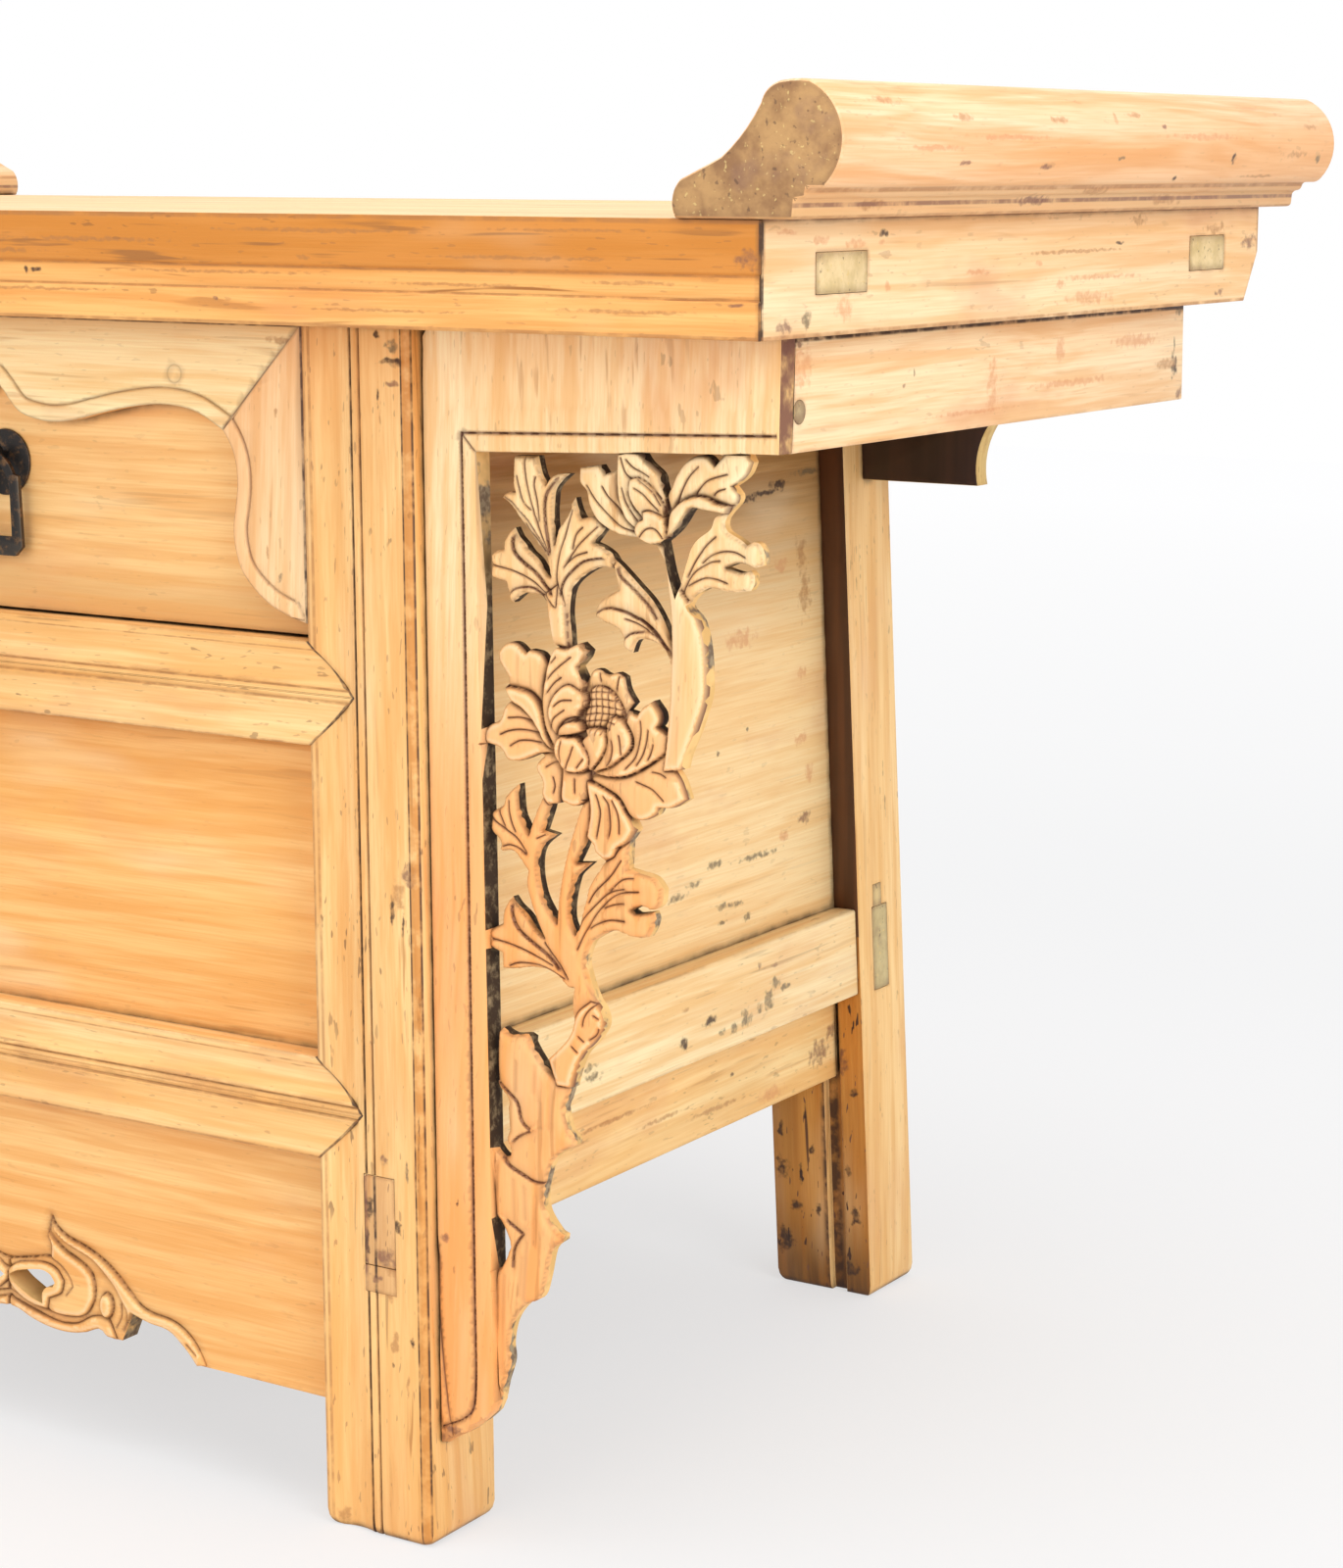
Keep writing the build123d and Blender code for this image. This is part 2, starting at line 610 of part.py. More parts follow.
with BuildPart() as post_rear:
    with BuildSketch(Plane.XY):
        face = foot_rear
        Polygon((post_inner, face - post_depth), (post_inner, face), (foot_outer, face),
                (foot_outer, face - post_depth), (foot_outer - side_panel_recess, face - post_depth),
                (foot_outer - side_panel_recess, face - post_depth + groove_depth),
                (foot_outer - side_panel_recess - side_panel_thick, face - post_depth + groove_depth),
                (foot_outer - side_panel_recess - side_panel_thick, face - post_depth), align=None)
    extrude(amount=under_top * lean_length_rear, dir=(-splay, -rake_rear, 1))
    with BuildSketch(Plane.XY.offset(under_top)):
        with Locations((outer_x(under_top) - post_width / 2, rear_y(under_top) - post_depth / 2)):
            Rectangle(post_tenon_width, post_tenon_depth)
    extrude(amount=post_tenon_height)
    for piece in (rail_rear_upper.part, rail_rear_lower.part, rear_panel_lower, rear_panel_upper,
                  side_rail.part, side_stretcher.part, rear_wedge, rear_key):
        add(piece, mode=Mode.SUBTRACT)

# ---------------------------------------------------------------- compartment floor
inside_x = outer_x(floor_top) - side_rail_recess - side_rail_thick
floor_front = front_y(lower_rail_bottom) + rail_depth + 3
floor_rear = rear_y(lower_rail_bottom) - rear_rail_recess - rear_rail_depth - 2

with BuildPart() as compartment_floor:
    with BuildSketch(Plane.XY.offset(floor_top - floor_thick)):
        Polygon((-inside_x, floor_front), (inside_x, floor_front), (inside_x, floor_rear),
                (-inside_x, floor_rear), align=None)
    extrude(amount=floor_thick)
    for post in (post_front.part, post_rear.part):
        add(post, mode=Mode.SUBTRACT)
        add(mirror(post, about=Plane.YZ), mode=Mode.SUBTRACT)

ledge_high = floor_top - floor_thick
ledge_low = ledge_high - ledge_size
with BuildPart() as floor_ledges:
    add(crossed(front_slab(rail_depth, ledge_size, ledge_low, ledge_high),
                between_posts(ledge_low, ledge_high)))
    add(crossed(rear_slab(rear_rail_recess + rear_rail_depth, ledge_size, ledge_low, ledge_high),
                between_posts(ledge_low, ledge_high)))

# ---------------------------------------------------------------- drawer runners and guides
side_outer = drawer_x(drawer_high) - drawer_side_clear
runner_outer = inner_x(upper_rail_top)
runner_view = polygon([(runner_outer - runner_width, upper_rail_top - runner_height),
                       (runner_outer, upper_rail_top - runner_height), (runner_outer, upper_rail_top),
                       (runner_outer - runner_width, upper_rail_top)])
runner_low = upper_rail_top - runner_height
runner = crossed(
    polygon([(front_y(runner_low) + rail_depth, runner_low),
             (rear_y(runner_low) - rear_rail_recess - rear_rail_depth, runner_low),
             (rear_y(upper_rail_top) - rear_rail_recess - rear_rail_depth, upper_rail_top),
             (front_y(upper_rail_top) + rail_depth, upper_rail_top)]), runner_view)

guide_top = upper_rail_top + guide_height
guide = crossed(
    front_to_rear(upper_rail_top, guide_top),
    polygon([(side_outer + drawer_side_clear, upper_rail_top), (runner_outer, upper_rail_top),
             (runner_outer, guide_top), (side_outer + drawer_side_clear, guide_top)]))

# ---------------------------------------------------------------- top
# Four rails mitred at the corners, with the long rails' tenons showing on the ends, round a
# flush panel that is stiffened by battens from below.
tenon_near = 56.0
tenon_wide = 56.0
tenon_thick = 22.0
tenon_low = under_top + 22.0
inner_length = half_length - top_rail_width
inner_depth = half_depth - top_rail_width
upper_band = 29.0
middle_band = 12.5
face_groove = 1.6
rear_bevel_in = 21.0
rear_bevel_up = 32.0

with BuildPart() as top_panel:
    with BuildSketch(Plane.XY.offset(top_height - top_panel_thick)):
        Rectangle(2 * inner_length, 2 * inner_depth)
    extrude(amount=top_panel_thick)
    with BuildSketch(Plane.XY.offset(top_height - panel_tongue_drop - panel_tongue_thick)):
        Rectangle(2 * (inner_length + panel_tongue), 2 * (inner_depth + panel_tongue))
    extrude(amount=panel_tongue_thick)

batten_step = 2 * inner_length / (batten_count + 1)
batten_high = top_height - top_panel_thick
with BuildPart() as top_battens:
    with BuildSketch(Plane.XY.offset(batten_high - batten_thick)):
        with GridLocations(batten_step, 1, batten_count, 1):
            Rectangle(batten_width, 2 * inner_depth)
    extrude(amount=batten_thick)
    with BuildSketch(Plane.XY.offset(batten_high - batten_thick)):
        with GridLocations(batten_step, 1, batten_count, 1):
            Rectangle(batten_width - 16, 2 * (inner_depth + batten_tenon))
    extrude(amount=batten_thick - 6)


def face_grooves():
    """Two V grooves and a slightly sunk middle band along the front edge of the top."""
    first = top_height - upper_band
    second = first - middle_band
    edge = -half_depth
    grooves = polygon([(edge - 1, first + 1.2), (edge, first + 1.2), (edge + face_groove, first),
                       (edge + 0.8, first - 1.5), (edge + 0.8, second + 1.5), (edge + face_groove, second),
                       (edge, second - 1.2), (edge - 1, second - 1.2)])
    extrude(Plane.YZ * grooves, amount=far, both=True, mode=Mode.SUBTRACT)


def long_rail(side):
    """The front rail (side -1) or rear rail (side 1) of the top, with its through tenons."""
    with BuildPart() as rail:
        with BuildSketch(Plane.XY.offset(under_top)):
            Polygon((-half_length, side * half_depth), (half_length, side * half_depth),
                    (inner_length, side * inner_depth), (-inner_length, side * inner_depth), align=None)
        extrude(amount=top_thick)
        with BuildSketch(Plane.XY.offset(tenon_low)):
            with Locations((0, side * (half_depth - tenon_near - tenon_wide / 2))):
                Rectangle(top_length, tenon_wide)
        extrude(amount=tenon_thick)
        add(top_panel.part, mode=Mode.SUBTRACT)
        add(top_battens.part, mode=Mode.SUBTRACT)
        for post in (post_front.part, post_rear.part):
            add(post, mode=Mode.SUBTRACT)
            add(mirror(post, about=Plane.YZ), mode=Mode.SUBTRACT)
        if side < 0:
            face_grooves()
        else:
            rear_bevel()
    return rail.part


def rear_bevel():
    """The wide bevel along the lower rear edge of the top."""
    bevel = polygon([(half_depth + 1, under_top - 1), (half_depth + 1, under_top + rear_bevel_up),
                     (half_depth, under_top + rear_bevel_up), (half_depth - rear_bevel_in, under_top),
                     (half_depth - rear_bevel_in, under_top - 1)])
    extrude(Plane.YZ * bevel, amount=far, both=True, mode=Mode.SUBTRACT)


# ---------------------------------------------------------------- flanges
neck = 21.0
with BuildPart() as flange:
    with BuildSketch(Plane.XZ):
        with BuildLine():
            edge = half_length
            base = top_height
            crest = base + flange_height
            toe_low = (edge - flange_toe + 2, base)
            toe_high = (edge - flange_toe + 5, base + 0.285 * flange_height)
            waist = (edge - 22, base + 0.45 * flange_height)
            shoulder = (edge + 1, base + 0.83 * flange_height)
            brow = (edge + 14, crest - 0.7)
            back = (edge + 30, crest - 0.5)
            chin = (edge + 39, base + 16)
            Line((edge + neck, base), toe_low)
            ThreePointArc(toe_low, (edge - flange_toe, base + 9), toe_high)
            ThreePointArc(toe_high, (edge - 33, base + 26.3), waist)
            ThreePointArc(waist, (edge - 9, base + 44), shoulder)
            ThreePointArc(shoulder, (edge + 6, base + 66), brow)
            ThreePointArc(brow, (edge + 22, crest), back)
            ThreePointArc(back, (edge + flange_nose, base + 42), chin)
            Polyline(chin, (edge + neck + 8, base + 16), (edge + neck + 7, base + 11),
                     (edge + neck + 1, base + 10), (edge + neck, base))
        make_face()
    extrude(amount=half_depth + flange_overhang, both=True)
    with BuildSketch(Plane.XZ):
        with Locations((half_length - flange_toe / 2, top_height - flange_key_depth / 2)):
            Rectangle(flange_key_width, flange_key_depth)
    extrude(amount=half_depth - top_rail_width, both=True)

with BuildPart() as top_rail_end:
    with BuildSketch(Plane.XY.offset(under_top)):
        Polygon((half_length, -half_depth), (half_length, half_depth), (inner_length, inner_depth),
                (inner_length, -inner_depth), align=None)
    extrude(amount=top_thick)
    with BuildSketch(Plane.XY.offset(tenon_low)):
        with GridLocations(1, 2 * half_depth - 2 * tenon_near - tenon_wide, 1, 2):
            Rectangle(4 * half_length, tenon_wide)
    extrude(amount=tenon_thick, mode=Mode.SUBTRACT)
    add(top_panel.part, mode=Mode.SUBTRACT)
    add(flange.part, mode=Mode.SUBTRACT)
    rear_bevel()

top_rail_front = long_rail(-1)
top_rail_rear = long_rail(1)

# ---------------------------------------------------------------- drawer
# The base board carries three applied pieces, mitred at the corners, that form the arch.


def on_drawer(x, z):
    """A point of the arch, drawn on a front 240.36 by 182.5, moved to where it falls on this one."""
    return (x * drawer_x(drawer_high) / 240.36,
            drawer_low + (z - 533.5) * (drawer_high - drawer_low) / 182.5)


def arch_arc(first, middle, last):
    return ThreePointArc(on_drawer(*first), on_drawer(*middle), on_drawer(*last))


arch_mitre = on_drawer(182, 652)
arch_corner = (drawer_x(drawer_high), drawer_high)
arch_heel = on_drawer(0, 542)[1]

with BuildSketch() as arch_top_view:
    with BuildLine():
        Polyline(on_drawer(0, 676), (0, drawer_high), arch_corner, arch_mitre)
        add(arch_arc((182, 652), (162, 662), (133, 665.5)))
        add(arch_arc((133, 665.5), (112, 663.3), (90, 659)))
        add(arch_arc((90, 659), (67, 653.7), (45, 651.5)))
        add(arch_arc((45, 651.5), (17, 658.5), (0, 676)))
    make_face()
    mirror(about=Plane.YZ)

with BuildSketch() as arch_side_view:
    with BuildLine():
        Polyline(on_drawer(234, 545), (drawer_x(arch_heel), arch_heel), arch_corner, arch_mitre)
        add(arch_arc((182, 652), (190.5, 638), (193, 620)))
        add(arch_arc((193, 620), (190, 597), (195, 573)))
        add(arch_arc((195, 573), (209, 556.5), (234, 545)))
    make_face()

arch_slab = front_slab(drawer_recess, arch_thick, drawer_low, drawer_high)
arch_top = crossed(arch_slab, arch_top_view.sketch)
arch_side = crossed(arch_slab, arch_side_view.sketch)

eye_y = front_y(plate_height) + arch_recess - plate_thick - staple_reach
eye_z = plate_height + bail_lift
tail_y = front_y(plate_height) + arch_recess + drawer_front_thick + 0.5
board_y = front_y(plate_height) + arch_recess

with BuildPart() as pull_staple:
    with BuildSketch(Plane(origin=(-staple_wire, eye_y, eye_z), x_dir=(0, 1, 0), z_dir=(1, 0, 0))):
        Circle(staple_outer)
        Circle(staple_inner, mode=Mode.SUBTRACT)
    extrude(amount=2 * staple_wire)
    leg_start = eye_y + (staple_outer + staple_inner) / 2
    with Locations((0, (leg_start + tail_y) / 2, eye_z)):
        Box(2 * staple_wire, tail_y - leg_start, 2 * staple_wire)
    with Locations((0, tail_y + staple_wire, eye_z)):
        Box(2 * staple_tail, 2 * staple_wire, 2 * staple_wire)

with BuildPart() as pull_plate:
    with BuildSketch(Plane(origin=(0, board_y, plate_height), z_dir=(0, -1, rake_front))):
        Circle(plate_radius)
    extrude(amount=plate_thick)
    add(pull_staple.part, mode=Mode.SUBTRACT)

drawer_view = polygon([(-drawer_x(drawer_low), drawer_low), (drawer_x(drawer_low), drawer_low),
                       (drawer_x(drawer_high), drawer_high), (-drawer_x(drawer_high), drawer_high)])
side_low = upper_rail_top + runner_clear
side_high = drawer_high - drawer_side_drop
side_inner = side_outer - drawer_board
front_back = arch_recess + drawer_front_thick
tail = rear_y(upper_rail_top) - rear_rail_recess - rear_rail_depth - drawer_rear_clear
bottom_low = side_low + drawer_bottom_lift

with BuildPart() as drawer_bottom:
    with BuildSketch(Plane.XY.offset(bottom_low)):
        Polygon((-side_inner - drawer_groove, front_y(bottom_low) + front_back - drawer_groove),
                (side_inner + drawer_groove, front_y(bottom_low) + front_back - drawer_groove),
                (side_inner + drawer_groove, tail), (-side_inner - drawer_groove, tail), align=None)
    extrude(amount=drawer_bottom_thick)

with BuildPart() as drawer_front:
    add(crossed(front_slab(arch_recess, drawer_front_thick, drawer_low, drawer_high), drawer_view))
    add(drawer_bottom.part, mode=Mode.SUBTRACT)
    add(pull_staple.part, mode=Mode.SUBTRACT)

with BuildPart() as drawer_side:
    add(crossed(polygon([(front_y(side_low) + front_back, side_low), (tail, side_low), (tail, side_high),
                         (front_y(side_high) + front_back, side_high)]),
                polygon([(side_inner, side_low), (side_outer, side_low), (side_outer, side_high),
                         (side_inner, side_high)])))
    add(drawer_bottom.part, mode=Mode.SUBTRACT)

with BuildPart() as drawer_back:
    with BuildSketch(Plane.XY.offset(bottom_low + drawer_bottom_thick)):
        with Locations((0, tail - drawer_board / 2)):
            Rectangle(2 * side_inner, drawer_board)
    extrude(amount=side_high - bottom_low - drawer_bottom_thick)

# The bail hangs plumb in the staple's eye: a flat ring with square shoulders and a narrow crown.
bail_low = eye_z - bail_drop
slot_half = bail_half_width - bail_arm
with BuildPart() as pull_bail:
    with BuildSketch(Plane(origin=(0, eye_y + bail_thick / 2, 0), x_dir=(1, 0, 0), z_dir=(0, -1, 0))):
        with BuildLine():
            Polyline((0, bail_low), (bail_half_width - bail_chamfer, bail_low),
                     (bail_half_width, bail_low + bail_chamfer), (bail_half_width - 2, eye_z - bail_shoulder),
                     (bail_half_width - 6, eye_z - bail_shoulder + 1))
            ThreePointArc((bail_half_width - 6, eye_z - bail_shoulder + 1), (11, eye_z - 3),
                          (3, eye_z + bail_crown))
            Polyline((3, eye_z + bail_crown), (0, eye_z + bail_crown), (0, eye_z - bail_crown),
                     (3, eye_z - bail_crown), (slot_half - 1, eye_z - bail_shoulder - 3),
                     (slot_half, bail_low + bail_foot), (0, bail_low + bail_foot), (0, bail_low))
        make_face()
        mirror(about=Plane.YZ)
    extrude(amount=bail_thick)

# ---------------------------------------------------------------- pegs
peg_z = end_board_bottom + 22
peg_y = front_y(end_board_bottom) + end_board_front + peg_radius + 1.5
with BuildPart() as wood_pegs:
    for side in (1, -1):
        with BuildSketch(Plane(origin=(side * strip_end, peg_y, peg_z), z_dir=(side, 0, 0))):
            Circle(peg_radius)
        extrude(amount=-peg_length)

# ---------------------------------------------------------------- writing
save(top_rail_front, "top_rail_front")
save(top_rail_rear, "top_rail_rear")
save_pair(top_rail_end.part, "top_rail_end")
save(top_panel.part, "top_panel")
save(top_battens.part, "top_battens")
save_pair(flange.part, "flange")
save_pair(post_front.part, "post_front")
save_pair(post_rear.part, "post_rear")
save(rail_front_upper.part, "rail_front_upper")
save(rail_front_lower.part, "rail_front_lower")
save(front_panel, "panel_front")
save(apron, "apron_front")
save_pair(side_rail.part, "side_rail")
save_pair(side_panel.part, "side_panel")
save_pair(side_stretcher.part, "side_stretcher")
save(rail_rear_upper.part, "rail_rear_upper")
save(rail_rear_lower.part, "rail_rear_lower")
save(rear_panel_upper, "panel_rear_upper")
save(rear_panel_lower, "panel_rear_lower")
save(compartment_floor.part, "compartment_floor")
save(floor_ledges.part, "floor_ledges")
save_pair(runner, "drawer_runner")
save_pair(guide, "drawer_guide")
save_pair(spandrel.part, "spandrel")
save_pair(rear_bracket, "bracket_rear")

with BuildPart() as end_board_drilled:
    add(end_board)
    add(wood_pegs.part, mode=Mode.SUBTRACT)
save_pair(end_board_drilled.part, "end_board")
save(wood_pegs.part, "wood_pegs")

with BuildPart() as tenon_wedges:
    for wedge in (front_wedge, rear_wedge, rear_key):
        add(wedge)
        add(mirror(wedge, about=Plane.YZ))
save(tenon_wedges.part, "tenon_wedges")

save(drawer_front.part, "drawer_front")
save(arch_top, "drawer_arch_top")
save_pair(arch_side, "drawer_arch")
save_pair(drawer_side.part, "drawer_side")
save(drawer_back.part, "drawer_back")
save(drawer_bottom.part, "drawer_bottom")
save(pull_plate.part, "pull_plate")
save(pull_staple.part, "pull_staple")
save(pull_bail.part, "pull_bail")
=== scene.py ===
import math

import bmesh
import bpy
import numpy as np
from mathutils import Matrix, Vector
from mathutils.geometry import delaunay_2d_cdt


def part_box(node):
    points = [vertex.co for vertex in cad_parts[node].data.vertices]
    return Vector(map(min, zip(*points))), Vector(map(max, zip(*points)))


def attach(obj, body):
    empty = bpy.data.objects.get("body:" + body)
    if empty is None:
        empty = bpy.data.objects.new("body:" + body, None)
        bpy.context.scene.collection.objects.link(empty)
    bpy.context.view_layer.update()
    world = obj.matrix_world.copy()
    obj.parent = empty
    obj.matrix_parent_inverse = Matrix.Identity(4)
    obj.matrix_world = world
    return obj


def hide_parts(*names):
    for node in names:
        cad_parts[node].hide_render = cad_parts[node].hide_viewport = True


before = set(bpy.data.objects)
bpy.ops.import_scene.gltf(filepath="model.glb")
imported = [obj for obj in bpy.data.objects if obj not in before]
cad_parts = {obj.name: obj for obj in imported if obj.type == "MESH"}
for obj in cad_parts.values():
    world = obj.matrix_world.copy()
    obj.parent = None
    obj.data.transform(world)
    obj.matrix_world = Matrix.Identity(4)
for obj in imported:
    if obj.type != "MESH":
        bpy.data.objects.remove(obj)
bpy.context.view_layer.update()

# ---------------------------------------------------------------- camera
# The view from the front right at about the height of the flanges, with the middle of the
# drawer on the left edge of the picture. All places are in metres in the part's own frame.
eye = Vector((1.4784, -1.8302, 0.8091))
turn = math.radians(32.2087)
tilt = math.radians(10.4066)
roll = math.radians(0.096)
camera_data = bpy.data.cameras.new("camera")
camera_data.lens = 77.91
camera_data.sensor_width = 36
camera_data.clip_start = 0.05
camera = bpy.data.objects.new("camera", camera_data)
camera.matrix_world = (Matrix.Translation(eye) @ Matrix.Rotation(turn, 4, "Z")
                       @ Matrix.Rotation(math.pi / 2 - tilt, 4, "X") @ Matrix.Rotation(roll, 4, "Z"))
bpy.context.scene.collection.objects.link(camera)
bpy.context.scene.camera = camera
bpy.context.scene.view_settings.view_transform = "Standard"


# ---------------------------------------------------------------- studio
# A pale floor that runs out into a white backdrop, an even white surround, a large soft light
# from above and one from the right, so the ends of the table are brighter than its front.
def put(tree, kind, settings=None, **sockets):
    """Add a node, set its properties, and give each named socket a value or a link."""
    made = tree.nodes.new(kind)
    for key, value in (settings or {}).items():
        setattr(made, key, value)
    for key, value in sockets.items():
        feed(tree, made.inputs[int(key[1:]) if key[0] == "i" and key[1:].isdigit() else
                               key.replace("_", " ")], value)
    return made


def feed(tree, socket, value):
    if isinstance(value, bpy.types.NodeSocket):
        tree.links.new(value, socket)
    elif isinstance(value, bpy.types.Node):
        tree.links.new(value.outputs[0], socket)
    else:
        socket.default_value = value


def ramp(tree, value, low, high, bottom=0.0, top=1.0, kind="SMOOTHSTEP"):
    """A smooth step from bottom at low to top at high."""
    return put(tree, "ShaderNodeMapRange", {"interpolation_type": kind}, Value=value, From_Min=low,
               From_Max=high, To_Min=bottom, To_Max=top).outputs[0]


def straight(tree, value, low, high, bottom=0.0, top=1.0):
    """The same as an even slope."""
    return ramp(tree, value, low, high, bottom, top, "LINEAR")


def times(tree, first, second):
    return put(tree, "ShaderNodeMath", {"operation": "MULTIPLY"}, i0=first, i1=second).outputs[0]


def blank_material(name):
    made = bpy.data.materials.new(name)
    made.use_nodes = True
    made.node_tree.nodes.clear()
    return made, made.node_tree


def seen_directly(tree):
    """1 for rays from the camera, a reflection or glass, and 0 for light that falls on things."""
    path = put(tree, "ShaderNodeLightPath")
    either = put(tree, "ShaderNodeMath", {"operation": "MAXIMUM"}, i0=path.outputs["Is Camera Ray"],
                 i1=path.outputs["Is Glossy Ray"])
    return put(tree, "ShaderNodeMath", {"operation": "MAXIMUM"}, i0=either,
               i1=path.outputs["Is Transmission Ray"])


floor_size, floor_below = 14.0, 0.0004
floor_colour = (0.85, 0.85, 0.855, 1)
backdrop_colour = (0.92, 0.92, 0.925, 1)
floor_mesh = bpy.data.meshes.new("studio_floor")
corner = floor_size / 2
floor_mesh.from_pydata([(x, y, -floor_below) for x, y in ((-corner, -corner), (corner, -corner),
                                                          (corner, corner), (-corner, corner))],
                       [], [(0, 1, 2, 3)])
floor = bpy.data.objects.new("studio_floor", floor_mesh)
bpy.context.scene.collection.objects.link(floor)
floor_paint, tree = blank_material("studio_floor")
place = put(tree, "ShaderNodeTexCoord").outputs["Object"]
distance = put(tree, "ShaderNodeVectorMath", {"operation": "LENGTH"}, i0=place).outputs["Value"]
fade = times(tree, ramp(tree, distance, 0.5, 2.6, bottom=0.66), seen_directly(tree))
matt = put(tree, "ShaderNodeBsdfDiffuse", Color=floor_colour)
glow = straight(tree, distance, 1.5, 6.0, bottom=1.0, top=1.08)
white = put(tree, "ShaderNodeEmission", Color=backdrop_colour, Strength=glow)
mixed = put(tree, "ShaderNodeMixShader", i0=fade, i1=matt, i2=white)
put(tree, "ShaderNodeOutputMaterial", Surface=mixed)
floor_mesh.materials.append(floor_paint)

world = bpy.data.worlds.new("studio")
bpy.context.scene.world = world
world.use_nodes = True
tree = world.node_tree
tree.nodes.clear()
surround_light = put(tree, "ShaderNodeBackground", Color=(1, 1, 1, 1), Strength=0.72)
backdrop = put(tree, "ShaderNodeBackground", Color=(1, 1, 1, 1), Strength=1.0)
mixed = put(tree, "ShaderNodeMixShader", i0=seen_directly(tree), i1=surround_light, i2=backdrop)
put(tree, "ShaderNodeOutputWorld", Surface=mixed)


def softbox(name, place, target, size, power):
    lamp = bpy.data.lights.new(name, "AREA")
    lamp.shape = "RECTANGLE"
    lamp.size, lamp.size_y = size
    lamp.energy = power
    lamp_object = bpy.data.objects.new(name, lamp)
    aim = (Vector(target) - Vector(place)).to_track_quat("-Z", "Y")
    lamp_object.matrix_world = Matrix.Translation(place) @ aim.to_matrix().to_4x4()
    bpy.context.scene.collection.objects.link(lamp_object)


softbox("softbox_above", (0.3, -0.4, 3.1), (0.1, 0, 0.6), (2.6, 2.2), 42)
softbox("softbox_right", (3.2, -1.2, 1.7), (0.4, 0, 0.5), (1.8, 1.8), 44)
softbox("softbox_front", (0.2, -3.4, 1.5), (0.2, 0, 0.4), (2.0, 1.8), 24)


# ---------------------------------------------------------------- top frame and panel
# Four stripped pine rails mitred at the corners round a flush panel. The long rails' tenons
# come through the end rails and show there as small squares of grey-green end grain.
def blend_colour(tree, amount, first, second):
    return put(tree, "ShaderNodeMix", {"data_type": "RGBA"}, i0=amount, i6=first, i7=second).outputs[2]


def noise(tree, vector, scale, detail=2.0, rough=0.5):
    return put(tree, "ShaderNodeTexNoise", Vector=vector, Scale=scale, Detail=detail,
               Roughness=rough).outputs[0]


def stained(tree, colour, amount, strength, paint):
    """Lay a paint over a colour, as strong as amount times strength."""
    return blend_colour(tree, times(tree, amount, strength), colour, paint)


def closed_in(tree, reach, samples, start, full, inside=False):
    """How closed in a place is by what stands within reach. With inside it looks into the piece
    itself, and so finds the arrises."""
    open_share = put(tree, "ShaderNodeAmbientOcclusion", {"samples": samples, "inside": inside},
                     Distance=reach).outputs["AO"]
    return straight(tree, open_share, start, full)


def coated(made, tree, colour, **sockets):
    """End a material in its shader, with this colour and these other sockets."""
    surface = put(tree, "ShaderNodeBsdfPrincipled", Base_Color=colour, **sockets)
    put(tree, "ShaderNodeOutputMaterial", Surface=surface)
    return made


def shifted(tree, vector, by):
    return put(tree, "ShaderNodeVectorMath", {"operation": "ADD"}, i0=vector, i1=by).outputs[0]


def squeezed(tree, vector, grain, share, lean=(0, 0)):
    """The same pattern drawn out along the grain, which may lean as the posts do."""
    place = put(tree, "ShaderNodeMapping", Vector=vector, Rotation=(lean[1], lean[0], 0)).outputs[0]
    scale = {"X": (share, 1, 1), "Y": (1, share, 1), "Z": (1, 1, share)}[grain]
    return put(tree, "ShaderNodeMapping", Vector=place, Scale=scale).outputs[0]


tones = {"dark": ((0.055, 0.028, 0.018, 1), 0.92), "purple": ((0.20, 0.085, 0.06, 1), 0.75),
         "red": ((0.66, 0.25, 0.10, 1), 0.50), "brown": ((0.40, 0.17, 0.055, 1), 0.60),
         "grey": ((0.19, 0.14, 0.075, 1), 0.85), "amber": ((0.60, 0.24, 0.05, 1), 0.85)}


